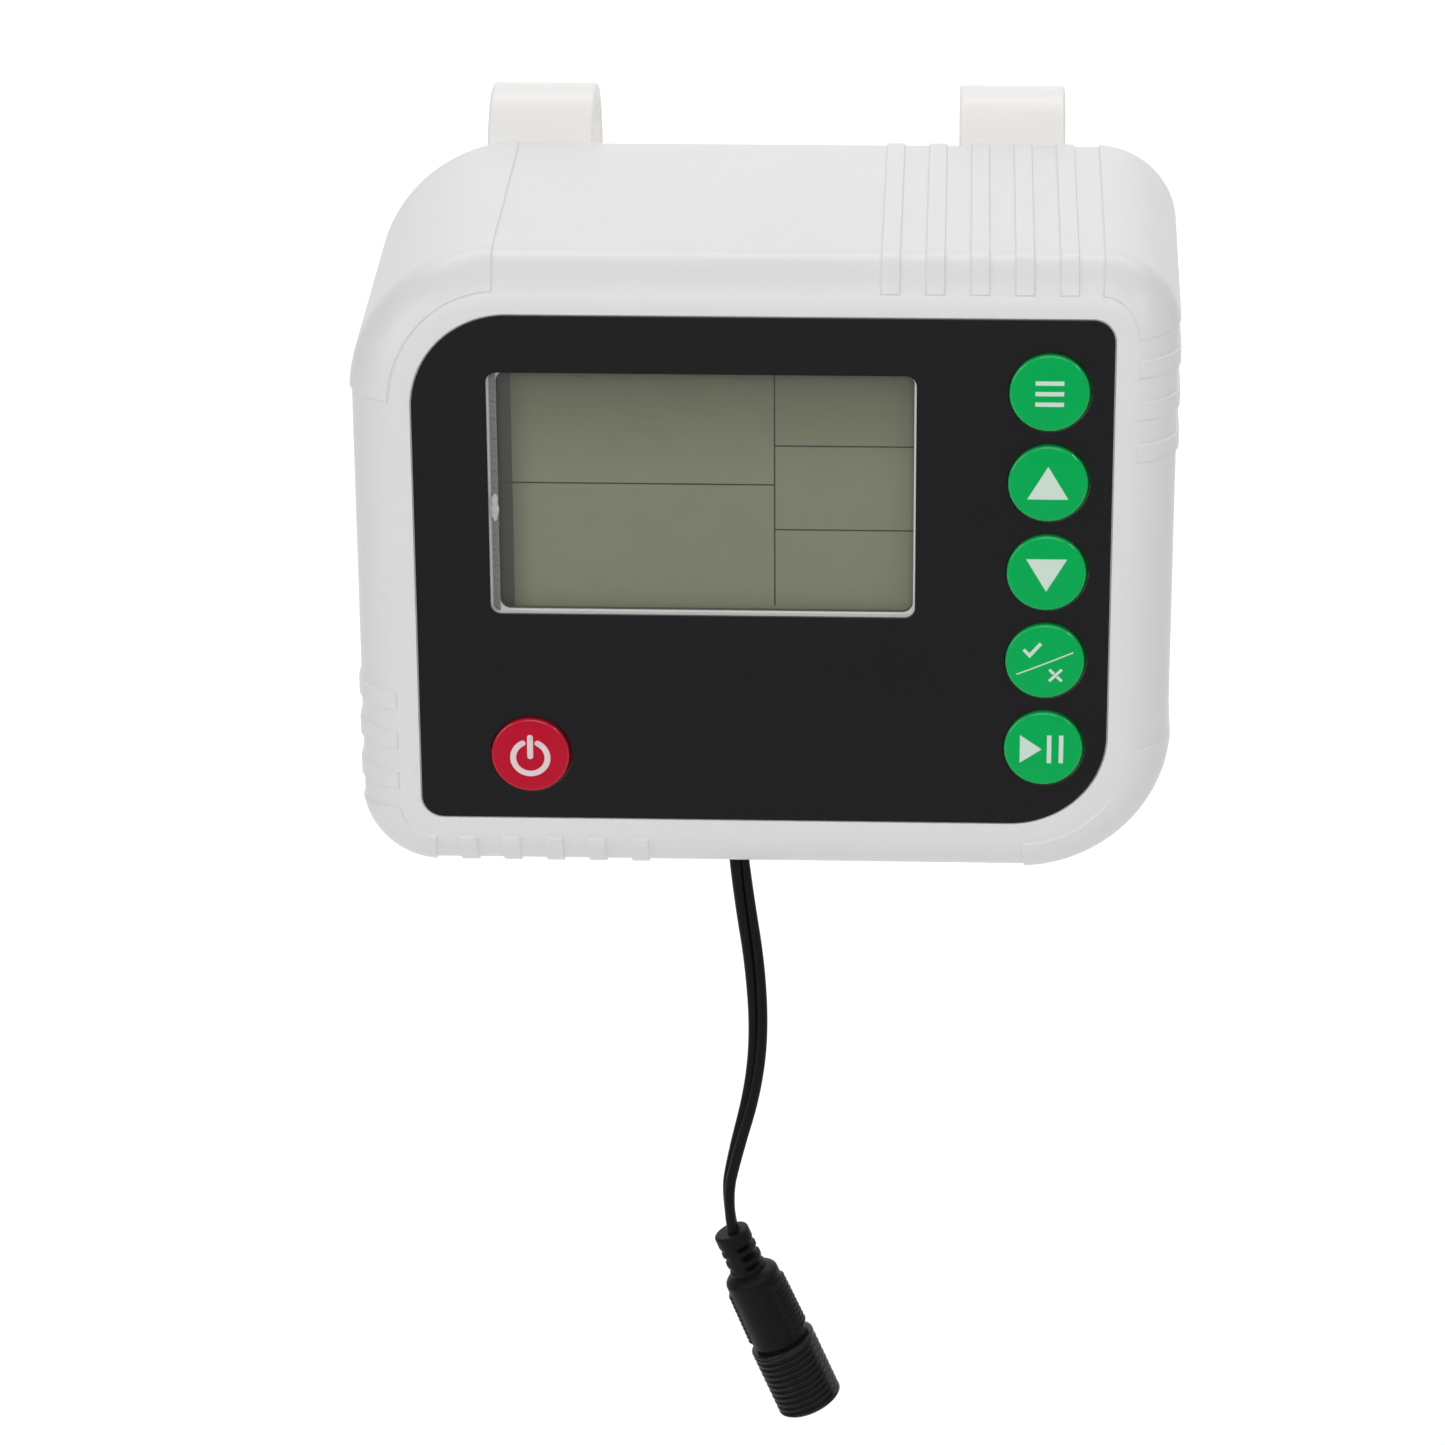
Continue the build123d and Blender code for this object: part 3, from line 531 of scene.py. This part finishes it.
# Clear lens with softened edges
lens_round = 0.25 * mm
lens_rings = []
for inset, depth in ((lens_round, lens_low.y), (0, lens_low.y + lens_round), (0, lens_high.y)):
    outline = rounded(
        window_x, window_z, lens_high.x - lens_low.x - 2 * inset, lens_high.z - lens_low.z - 2 * inset,
        window_corner - inset)
    lens_rings.append([(x, depth, z) for x, z in outline])
clear, clear_shader, place = finish("clear_lens", IOR=1.49, Roughness=0.04)
ledge_end = window_left + ledge_left
# Painted shade: over the white ledge at the left the lens turns half opaque and grey, so the ledge behind it
# looks shaded
painted_ledge_shade = place.axis(0).fade(ledge_end, ledge_end + 0.1 * mm, 1.0, 0.0)
painted_ledge_shade = painted_ledge_shade * place.axis(0).fade(window_left + 0.35 * mm, window_left + 0.5 * mm, 0.0, 1.0)
drive(
    clear_shader,
    Base_Color=place.noise(30 * mm).mix((0.16, 0.155, 0.14, 1), (0.20, 0.195, 0.18, 1)),
    Alpha=painted_ledge_shade * 0.5 + 0.04,
)
lens = skin("display_lens", lens_rings)
fit("display_lens", lens, clear, stands_for=["display_lens"], angle=30)

# Rough stub at the left edge of the lens, where the moulded sprue was broken off
stub = bmesh.new()
bmesh.ops.create_icosphere(stub, subdivisions=4, radius=1.0)
stub_x, stub_z = lens_low.x + 0.9 * mm, window_z - 3.0 * mm
stub_half_width, stub_half_depth, stub_half_height = 0.75 * mm, 0.25 * mm, 2.8 * mm
for vertex in stub.verts:
    x, y, z = vertex.co
    wave = 0.18 * sin(7 * z + 3 * x) + 0.14 * sin(11 * z - 5 * y)
    vertex.co = Vector((
        stub_x + stub_half_width * (1 + wave) * x,
        lens_low.y + stub_half_depth * (1 + wave) * y,
        stub_z + stub_half_height * (1 + 0.1 * wave) * z,
    ))
stub_mesh = bpy.data.meshes.new("sprue_stub")
stub.to_mesh(stub_mesh)
stub.free()
frost, frost_shader, place = finish("frosted_stub", IOR=1.49, Alpha=0.75)
drive(
    frost_shader,
    Base_Color=place.noise(0.6 * mm).mix((0.42, 0.45, 0.45, 1), (0.85, 0.87, 0.87, 1)),
    Roughness=place.noise(0.4 * mm) * 0.3 + 0.2,
    Normal=place.noise(0.5 * mm, detail=3.0).bump(0.08 * mm),
)
fit("sprue_stub", stub_mesh, frost)

# Printed sheet: black face, and a pale line where its edge shows the bare plastic
sheet_face, sheet_back = panel_low.y - front_y, panel_high.y - front_y
sheet_round = 0.06 * mm
sheet = skin("overlay_sheet", [
    panel_ring(-sheet_round, sheet_face), panel_ring(0, sheet_face + sheet_round), panel_ring(0, sheet_back),
])
sheet = cut(sheet, [block("window_hole", window_outline, -past, past)] + [
    block(f"{name}_hole", circle(x, z, hole_radius), -past, past) for name, (x, z) in button_places.items()
])
black_sheet, black_shader, place = finish("overlay_black", IOR=1.2)
edge = (1 - front_on(place) * 1.4).clamp()
face_tone = place.noise(26 * mm, detail=3.0).mix((0.0125, 0.0118, 0.0132, 1), (0.0150, 0.0142, 0.0158, 1))
drive(
    black_shader,
    Base_Color=edge.mix(face_tone, (0.16, 0.14, 0.11, 1)),
    Roughness=place.noise(1.2 * mm) * 0.08 + 0.50,
    Normal=place.noise(0.18 * mm, detail=3.0).bump(0.004 * mm),
)
fit("overlay_sheet", sheet, black_sheet, stands_for=["overlay_panel"], angle=25)

# ------------------------------------------------------------------ main board
# The circuit board behind the display, with its tact switches, chip, capacitors and the
# socket that the lead plugs into. Four screws hold it to posts inside the case.
board_green, board_shader, place = finish("board_green", Coat_Weight=0.4, Coat_Roughness=0.2)
tracks = place.node("ShaderNodeTexBrick", {
    "Vector": place.node(
        "ShaderNodeVectorRotate", {"Vector": place, "Angle": radians(90)}, rotation_type="X_AXIS"),
    "Scale": 1.0, "Brick Width": 6 * mm, "Row Height": 1.6 * mm, "Mortar Size": 0.25 * mm,
    "Color1": (1, 1, 1, 1), "Color2": (0.6, 0.6, 0.6, 1), "Mortar": (0, 0, 0, 1),
})
drive(
    board_shader,
    Base_Color=tracks.mix((0.020, 0.150, 0.070, 1), (0.012, 0.095, 0.042, 1)),
    Roughness=place.noise(2 * mm) * 0.1 + 0.35,
)
dress(board_green, "main_board")

screw_steel, screw_shader, place = finish("screw_steel", Metallic=1.0)
drive(
    screw_shader,
    Base_Color=place.noise(1.0 * mm).mix((0.50, 0.51, 0.53, 1), (0.66, 0.66, 0.67, 1)),
    Roughness=place.noise(0.4 * mm, detail=3.0) * 0.22 + 0.22,
    Normal=place.noise(0.3 * mm).bump(0.01 * mm),
)
dress(screw_steel, "board_screws", "speaker_screws", "speaker_washers", "cover_screws", "hook_screws")

sleeve = moulded("capacitor_sleeve", (0.03, 0.04, 0.09), 0.3)
nylon = moulded("natural_nylon", (0.80, 0.77, 0.68), 0.45)
dress(sleeve, "capacitors")
dress(nylon, "lead_header", "lead_plug")

# ------------------------------------------------------------------ push buttons
# Six round caps, green and one red, turned to a nearly flat glossy face with a rounded
# edge. Each has a flange behind the front wall and a stem that pushes its tact switch.
cap_rise, cap_back = 1.0 * mm, 3.3 * mm
flange_back = 4.5 * mm
crown = 0.22 * mm
edge_round = 0.55 * mm
cap_wall, cap_top = 1.4 * mm, 2.0 * mm
stem_radius = 2.0 * mm
pinhole = 0.04 * mm
mark_rise = 0.03 * mm
cap_side = -0.16 * mm
stem_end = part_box("menu_plunger")[0].y - front_y


def turned(name, profile, x, z):
    """Closed mesh turned about a line along the depth, from (radius, depth) pairs."""
    return skin(name, [
        [(a, front_y + depth, b) for a, b in circle(x, z, radius)] for radius, depth in profile
    ])


def crowned(radius):
    """Depth of a cap's face at a radius: nearly flat, a little crowned."""
    return -cap_rise + crown * (radius / button_radius) ** 2


def cap_profile():
    """Half section of a cap with its flange and its stem, from the face to the stem's end."""
    profile = [(pinhole, crowned(0))]
    flat = button_radius - edge_round
    profile += [(flat * i / 8, crowned(flat * i / 8)) for i in range(1, 9)]
    level = crowned(flat)
    for i in range(1, 7):
        turn = pi / 2 * i / 6
        profile.append((flat + edge_round * sin(turn), level + edge_round * (1 - cos(turn))))
    profile += [
        (button_radius, cap_back), (button_radius + flange_width, cap_back),
        (button_radius + flange_width, flange_back), (button_radius - cap_wall, flange_back),
        (button_radius - cap_wall, cap_top - cap_rise), (stem_radius, cap_top - cap_rise),
        (stem_radius, stem_end), (pinhole, stem_end),
    ]
    return profile


def raised(name, outline, x, z):
    """A printed mark: a thin layer of that outline lying on the crown of a cap."""
    made = bmesh.new()
    face = made.faces.new([made.verts.new((x + a, 0, z + b)) for a, b in outline])
    bmesh.ops.triangulate(made, faces=[face])
    for _ in range(3):
        bmesh.ops.subdivide_edges(made, edges=[e for e in made.edges if e.calc_length() > 0.9 * mm], cuts=1)
        bmesh.ops.triangulate(made, faces=made.faces)
    for vertex in made.verts:
        radius = hypot(vertex.co.x - x, vertex.co.z - z)
        vertex.co.y = front_y + crowned(radius) - mark_rise
    top = list(made.faces)
    grown = bmesh.ops.extrude_face_region(made, geom=top)
    for vertex in (v for v in grown["geom"] if isinstance(v, bmesh.types.BMVert)):
        vertex.co.y += 2 * mark_rise
    bmesh.ops.recalc_face_normals(made, faces=made.faces)
    mesh = bpy.data.meshes.new(name)
    made.to_mesh(mesh)
    made.free()
    return mesh


def strip(x0, z0, x1, z1, width):
    """Outline of a straight stroke."""
    way = Vector((x1 - x0, z1 - z0)).normalized() * width / 2
    near = [(x0 - way.y, z0 + way.x), (x0 + way.y, z0 - way.x)]
    return near + [(x1 + way.y, z1 - way.x), (x1 - way.y, z1 + way.x)]


def arc_band(z, radius, width, start, end, sides=36):
    """Outlines that make up part of a ring centred at a height, between two angles."""
    turns = [start + (end - start) * i / sides for i in range(sides + 1)]
    outer = [((radius + width / 2) * cos(t), z + (radius + width / 2) * sin(t)) for t in turns]
    inner = [((radius - width / 2) * cos(t), z + (radius - width / 2) * sin(t)) for t in turns]
    return [[inner[i], outer[i], outer[i + 1], inner[i + 1]] for i in range(sides)]


stroke, slash_stroke, cross_stroke = 0.85 * mm, 0.252 * mm, 0.546 * mm
power_stroke, power_radius, power_centre, power_gap = 1.15 * mm, 3.35 * mm, -0.4 * mm, radians(26)
power_low, power_high = -0.1 * mm, 3.8 * mm
power_ends = [(0, power_low), (0, power_high)] + [
    (side * power_radius * sin(power_gap), power_centre + power_radius * cos(power_gap)) for side in (-1, 1)
]
marks = {
    "menu": [strip(-2.7 * mm, z * mm, 2.7 * mm, z * mm, stroke) for z in (2.1, 0.0, -2.1)],
    "up": [[(0, 3.6 * mm), (-3.9 * mm, -3.0 * mm), (3.9 * mm, -3.0 * mm)]],
    "down": [[(0, -3.6 * mm), (3.9 * mm, 3.0 * mm), (-3.9 * mm, 3.0 * mm)]],
    "confirm": [
        strip(-5.4 * mm, -2.6 * mm, 5.4 * mm, 2.0 * mm, slash_stroke),
        [(a * mm, b * mm) for a, b in (
            (-4.3, 2.35), (-3.85, 2.75), (-2.95, 1.85), (-1.05, 4.05), (-0.55, 3.6), (-2.9, 0.85))],
        strip(0.9 * mm, -3.9 * mm, 3.3 * mm, -1.5 * mm, cross_stroke),
        strip(0.9 * mm, -1.5 * mm, 1.83 * mm, -2.43 * mm, cross_stroke),
        strip(2.37 * mm, -2.97 * mm, 3.3 * mm, -3.9 * mm, cross_stroke),
    ],
    "start": [
        [(-4.5 * mm, 2.9 * mm), (-4.5 * mm, -2.9 * mm), (-0.3 * mm, 0)],
        strip(1.15 * mm, -2.9 * mm, 1.15 * mm, 2.9 * mm, stroke),
        strip(3.45 * mm, -2.9 * mm, 3.45 * mm, 2.9 * mm, stroke),
    ],
    "power": arc_band(
        power_centre, power_radius, power_stroke, pi / 2 + power_gap, 5 * pi / 2 - power_gap,
    ) + [circle(x, z, power_stroke / 2, sides=20) for x, z in power_ends] + [
        strip(0, power_low, 0, power_high, power_stroke),
    ],
}


def cap_finish(name, colour, deep):
    """Coloured plastic with a little depth of tone, a faint orange-peel and a polished rim."""
    material, shader, place = finish(name, IOR=1.2, Coat_Roughness=0.05)
    rim = (1 - front_on(place)) * 6
    drive(
        shader,
        Base_Color=place.noise(6 * mm).mix((*colour, 1), (*deep, 1)),
        Roughness=place.noise(1.5 * mm) * 0.08 + 0.22,
        Coat_Weight=(rim + 0.03).clamp(),
        Normal=place.noise(1.2 * mm).bump(0.006 * mm),
    )
    return material


cap_plastics = {
    "green": cap_finish("green_plastic", (0.000, 0.440, 0.096), (0.000, 0.410, 0.088)),
    "red": cap_finish("red_plastic", (0.535, 0.006, 0.030), (0.495, 0.005, 0.026)),
}
mark_inks = {
    "green": moulded("mark_ink", (0.66, 0.80, 0.70), 0.4),
    "red": moulded("red_mark_ink", (0.84, 0.66, 0.68), 0.4),
}
plunger_plastic = moulded("plunger_plastic", (0.70, 0.68, 0.62), 0.5)
for name, (x, z) in button_places.items():
    colour = "red" if name == "power" else "green"
    key, slot = f"{name}_key", f"{colour}_plastic"
    cap = turned(f"{name}_cap", cap_profile(), x + cap_side, z)
    fit(
        f"{name}_cap", cap, cap_plastics[colour], body=key, stands_for=[f"{name}_button"],
        angle=45)
    mark = joined(f"{name}_mark", [raised("layer", outline, x + cap_side, z) for outline in marks[name]])
    fit(f"{name}_mark", mark, mark_inks[colour], body=key, angle=30)
    dress(plunger_plastic, f"{name}_plunger")

# ------------------------------------------------------------------ back cover and hooks
# The cover is let in flush at the back and has the loudspeaker's grille. Two moulded hooks
# for a bar or a ring rope are screwed on behind it.
hook_plastic = moulded("hook_plastic", (0.90, 0.878, 0.855), 0.38)
dress(white_plastic, "back_cover")
dress(hook_plastic, "hook_left", "hook_right")

# ------------------------------------------------------------------ loudspeaker
# A small loudspeaker with a pressed steel basket and a black paper cone faces the grille.
speaker_steel, steel_shader, place = finish("speaker_steel", Metallic=0.6)
drive(
    steel_shader,
    Base_Color=place.noise(4 * mm).mix((0.30, 0.30, 0.31, 1), (0.38, 0.38, 0.39, 1)),
    Roughness=place.noise(1 * mm) * 0.15 + 0.35,
)
dress(speaker_steel, "speaker_basket")
cone_paper, cone_shader, place = finish("cone_paper")
drive(
    cone_shader,
    Base_Color=place.noise(0.8 * mm, detail=4.0).mix((0.022, 0.021, 0.020, 1), (0.050, 0.048, 0.046, 1)),
    Roughness=place.noise(2 * mm) * 0.1 + 0.8,
    Normal=place.noise(0.5 * mm, detail=4.0).bump(0.04 * mm),
)
dress(cone_paper, "speaker_cone")

# ------------------------------------------------------------------ lead and its connector
# A thin black twin lead leaves a rubber bush under the case and hangs free. It ends in an
# inline socket with a slotted strain relief, ribbed grips and a screw thread for its nut.
lead_rubber, lead_shader, place = finish("lead_rubber", IOR=1.22)
drive(
    lead_shader,
    Base_Color=place.noise(3 * mm).mix((0.0045, 0.0043, 0.0041, 1), (0.008, 0.0076, 0.0072, 1)),
    Roughness=place.noise(1.2 * mm) * 0.16 + 0.36,
    Normal=place.noise(0.5 * mm, detail=3.0).bump(0.015 * mm),
)
dress(lead_rubber, "lead_bush", "internal_lead")

lead_x, lead_y = -6.9 * mm, front_y + 40.0 * mm
lead_exit = Vector((lead_x, lead_y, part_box("lead_bush")[0].z))
plug_tilt = radians(22.6)
plug_axis = Vector((sin(plug_tilt), 0, -cos(plug_tilt)))
plug_top = lead_exit + Vector((-1.66, 0.0, -97.5)) * mm
lead_seat = 2.4 * mm
lead_end = plug_top + plug_axis * lead_seat

# Route of the hanging lead, measured from where it leaves the bush, in millimetres
lead_route = [
    (0.0, 0.0, 0.0),
    (0.0, 0.0, -7.0),
    (1.5, 0.5, -21.0),
    (3.7, 1.4, -37.0),
    (4.4, 1.6, -52.5),
    (3.0, 1.2, -65.5),
    (-0.5, 0.7, -79.0),
    (-2.7, 0.2, -90.0),
]
route = [lead_exit + Vector(point) * mm for point in lead_route] + [lead_end]
curve = bpy.data.curves.new("lead_line", "CURVE")
curve.dimensions = "3D"
curve.resolution_u = 24
spline = curve.splines.new("NURBS")
spline.points.add(len(route) - 1)
for control, point in zip(spline.points, route):
    control.co = (*point, 1.0)
spline.order_u = 3
spline.use_endpoint_u = True
guide = bpy.data.objects.new("lead_line", curve)
bpy.context.scene.collection.objects.link(guide)
bpy.context.view_layer.update()
guide_mesh = bpy.data.meshes.new_from_object(guide.evaluated_get(bpy.context.evaluated_depsgraph_get()))
line = [vertex.co.copy() for vertex in guide_mesh.vertices]
bpy.data.objects.remove(guide)
bpy.data.meshes.remove(guide_mesh)

core_radius, core_offset = 1.1 * mm, 1.0 * mm
twist_start, twist_end = radians(-44), radians(94)
waist = acos(-core_offset / core_radius)
core_turns = [-waist + 2 * waist * i / 20 for i in range(20)]
twin = [(core_offset + core_radius * cos(t), core_radius * sin(t)) for t in core_turns]
twin += [(-a, -b) for a, b in twin]

lead_rings = []
lead_length = sum((b - a).length for a, b in zip(line, line[1:]))
gone = 0.0
for i, point in enumerate(line):
    before, after = line[max(i - 1, 0)], line[min(i + 1, len(line) - 1)]
    gone += (point - line[i - 1]).length if i else 0.0
    ahead = (after - before).normalized()
    side = Vector((0, -1, 0)).cross(ahead).normalized()
    front = ahead.cross(side)
    twist = twist_start + (twist_end - twist_start) * gone / lead_length
    wide = side * cos(twist) + front * sin(twist)
    thin = front * cos(twist) - side * sin(twist)
    lead_rings.append([point + wide * a + thin * b for a, b in twin])
lead = fit(
    "hanging_lead", skin("hanging_lead", lead_rings), lead_rubber, stands_for=["power_lead"],
    angle=70)

# Connector body: every station along its axis has a radius, and slots and grips shape it
plug_roll = radians(15)
plug_side = Vector((cos(plug_tilt), 0, sin(plug_tilt)))
plug_side = Matrix.Rotation(plug_roll, 3, plug_axis) @ plug_side
plug_front = plug_axis.cross(plug_side)
relief_radius, relief_length = 3.75 * mm, 9.8 * mm
body_start, body_end = 11.6 * mm, 27.8 * mm
body_radius, body_end_radius = 5.8 * mm, 6.1 * mm
slot_start, slot_pitch, slot_width = 2.9 * mm, 2.35 * mm, 1.1 * mm
slot_floor, sheath = 1.2 * mm, 2.0 * mm
grip_start, grip_end = body_start + 2.0 * mm, body_end - 2.0 * mm
grip_half, grip_rise = 3.6 * mm, 0.5 * mm
grip_pitch, grip_rib = 1.1 * mm, 0.28 * mm
soft = 0.25 * mm


def body_radius_at(along):
    """Outer radius of the connector's moulded body without slots and grips."""
    if along < 0.5 * mm:
        return relief_radius - 0.5 * mm + max(0.0, 0.25 - (0.5 - along / mm) ** 2) ** 0.5 * mm
    if along < relief_length:
        return relief_radius + 0.15 * mm * along / relief_length
    if along < body_start:
        share = (along - relief_length) / (body_start - relief_length)
        neck = relief_radius + 0.15 * mm
        return neck + (body_radius - neck) * sin(pi / 2 * share) ** 0.7
    if along < body_end - 1.5 * mm:
        share = (along - body_start) / (body_end - body_start)
        return body_radius + (body_end_radius - body_radius) * share
    share = (along - body_end + 1.5 * mm) / (1.5 * mm)
    return body_end_radius - 0.4 * mm * share * share


def body_point(along, turn):
    """Point on the connector's moulded body, where slots go in and the ribbed grips stand out."""
    radius = body_radius_at(along)
    across, forward = cos(turn), sin(turn)
    for i in range(3):
        start = slot_start + i * slot_pitch
        inside = step(along - start, soft) * step(start + slot_width - along, soft)
        floor = max(sheath, min(radius, slot_floor / max(abs(across), 0.05)))
        radius = radius + (floor - radius) * inside
    if grip_start - 1.5 * mm < along < grip_end + 1.5 * mm:
        edge = grip_half - abs(radius * forward)
        pad = step(along - grip_start, 2 * soft) * step(grip_end - along, 2 * soft) * step(edge, 2 * soft)
        ribs = grip_rib * (0.5 + 0.5 * cos(2 * pi * (along - grip_start) / grip_pitch))
        radius += pad * (grip_rise - ribs)
    return plug_top + plug_axis * along + (plug_side * across + plug_front * forward) * radius


def plug_stations(marks, start, end, fine_step, coarse_step):
    """Distances along the connector, close together near marks."""
    place, places = start, []
    while place < end:
        places.append(place)
        near = any(low - 0.3 * mm < place < high + 0.3 * mm for low, high in marks)
        place += fine_step if near else coarse_step
    return places + [end]


busy = [(slot_start + i * slot_pitch, slot_start + i * slot_pitch + slot_width) for i in range(3)]
busy += [(0, 0.5 * mm), (relief_length - 0.3 * mm, body_start + 0.3 * mm), (grip_start, grip_end)]
angles = [2 * pi * i / 120 for i in range(120)]
body_rings = [
    [body_point(along, turn) for turn in angles]
    for along in plug_stations(busy, 0, body_end, 0.1 * mm, 0.4 * mm)
]
socket_radius, lead_bore = 5.0 * mm, sheath + 0.3 * mm
insulator_back = body_end - 4.0 * mm


def round_ring(along, radius):
    """Circle round the connector's axis."""
    centre = plug_top + plug_axis * along
    return [centre + (plug_side * cos(t) + plug_front * sin(t)) * radius for t in angles]


hollow = [
    round_ring(body_end, socket_radius), round_ring(insulator_back, socket_radius),
    round_ring(insulator_back, lead_bore), round_ring(lead_seat, lead_bore),
]
body = skin("connector_body", [round_ring(0, relief_radius - 1.0 * mm)] + body_rings + hollow)
body_piece = fit(
    "connector_grip", body, lead_rubber, stands_for=["connector_body"], angle=60)

# Threaded barrel: the outside follows a screw thread that fades out at both ends
barrel_radius, bore_chamfer = 7.0 * mm, 0.3 * mm
plug_length = 43.6 * mm
thread_pitch, thread_depth = 1.4 * mm, 0.62 * mm
connector_plastic = moulded(
    "connector_plastic", (0.0080, 0.0076, 0.0080), 0.32, grain=0.5 * mm, depth=0.01 * mm, IOR=1.3)
thread_start, thread_end = body_end + 0.8 * mm, plug_length - 0.9 * mm


def barrel_point(along, turn):
    """Point on the threaded barrel's outside, with its ends chamfered."""
    wave = (along / thread_pitch - turn / (2 * pi)) % 1.0
    tooth = min(1.0, max(0.0, 1.35 - abs(wave - 0.5) * 3.4))
    fade = step(along - thread_start, 0.8 * mm) * step(thread_end - along, 0.8 * mm)
    radius = barrel_radius - thread_depth * (1 - tooth) * fade
    radius -= 0.35 * mm * (1 - step(along - body_end - 0.15 * mm, 0.5 * mm))
    radius -= 0.5 * mm * (1 - step(plug_length - 0.2 * mm - along, 0.6 * mm))
    return plug_top + plug_axis * along + (plug_side * cos(turn) + plug_front * sin(turn)) * radius


barrel_places = plug_stations([], body_end, plug_length, 0.1 * mm, 0.1 * mm)
barrel_rings = [[barrel_point(along, turn) for turn in angles] for along in barrel_places]
barrel_rings.append(round_ring(plug_length, socket_radius + bore_chamfer))
barrel_rings.append(round_ring(plug_length - bore_chamfer, socket_radius))
barrel_rings.append(round_ring(body_end, socket_radius))
barrel = skin("connector_thread", barrel_rings, wrap=True)
barrel_piece = fit(
    "connector_thread", barrel, connector_plastic, stands_for=["connector_barrel"],
    angle=60)
dress(connector_plastic, "connector_insulator")
brass, brass_shader, place = finish("contact_brass", Metallic=1.0)
drive(
    brass_shader,
    Base_Color=place.noise(1 * mm).mix((0.62, 0.48, 0.24, 1), (0.74, 0.60, 0.34, 1)),
    Roughness=place.noise(0.5 * mm) * 0.15 + 0.2,
)
dress(brass, "connector_pin")

# ------------------------------------------------------------------ stage, lights and camera
# A pale floor that sweeps up into a backdrop, soft lamps all round, and the camera.
floor_z = -0.75
floor_mesh = bpy.data.meshes.new("floor")
sweep = bmesh.new()
profile = [(-3.0, floor_z)] + [
    (1.6 + 1.2 * sin(radians(a)), floor_z + 1.2 - 1.2 * cos(radians(a))) for a in range(0, 91, 6)
] + [(2.8, 4.0)]
rows = [[sweep.verts.new((x, y, z)) for x in (-4.0, 4.0)] for y, z in profile]
for low, high in zip(rows, rows[1:]):
    sweep.faces.new((low[0], low[1], high[1], high[0]))
sweep.to_mesh(floor_mesh)
sweep.free()
for face in floor_mesh.polygons:
    face.use_smooth = True
paper, paper_shader, place = finish("backdrop_paper", Roughness=0.9)
drive(paper_shader, Base_Color=place.noise(0.4).mix((0.93, 0.93, 0.93, 1), (0.95, 0.95, 0.95, 1)))
floor_mesh.materials.append(paper)
floor = bpy.data.objects.new("floor", floor_mesh)
bpy.context.scene.collection.objects.link(floor)

world = bpy.data.worlds.new("studio")
world.use_nodes = True
world.node_tree.nodes["Background"].inputs["Color"].default_value = (1, 1, 1, 1)
world.node_tree.nodes["Background"].inputs["Strength"].default_value = 0.30
bpy.context.scene.world = world


def lamp(name, place, aim, width, height, power, turn=0):
    """Soft rectangular lamp pointed at a place, turned by an angle in its own plane."""
    light = bpy.data.lights.new(name, "AREA")
    light.shape = "RECTANGLE"
    light.size = width
    light.size_y = height
    light.energy = power
    holder = bpy.data.objects.new(name, light)
    holder.location = place
    aimed = (Vector(aim) - Vector(place)).to_track_quat("-Z", "Y").to_matrix()
    holder.rotation_euler = (aimed @ Matrix.Rotation(radians(turn), 3, "Z")).to_euler()
    bpy.context.scene.collection.objects.link(holder)


middle = (0, -0.06, -0.06)
lamp("top_lamp", (0.15, -0.95, 1.05), middle, 1.0, 0.6, 2.9)
lamp("left_lamp", (-1.3, -1.0, 0.5), middle, 0.9, 1.2, 6.6)
lamp("right_lamp", (1.2, -0.9, 0.7), middle, 1.1, 0.10, 3.6, turn=45)
lamp("front_lamp", (0.1, -2.2, 0.9), middle, 1.6, 1.0, 11.6)
lamp("backdrop_lamp", (0, 1.2, 1.6), (0, 2.4, -0.3), 3.0, 1.0, 49)

camera_data = bpy.data.cameras.new("camera")
camera_data.lens = 134.1
camera_data.sensor_width = 36.0
camera = bpy.data.objects.new("camera", camera_data)
camera.location = (0.03757, -1.05168, 0.31898)
camera.rotation_euler = (radians(67.232), radians(0.328), radians(2.563))
bpy.context.scene.collection.objects.link(camera)
bpy.context.scene.camera = camera
bpy.context.scene.view_settings.view_transform = "Standard"
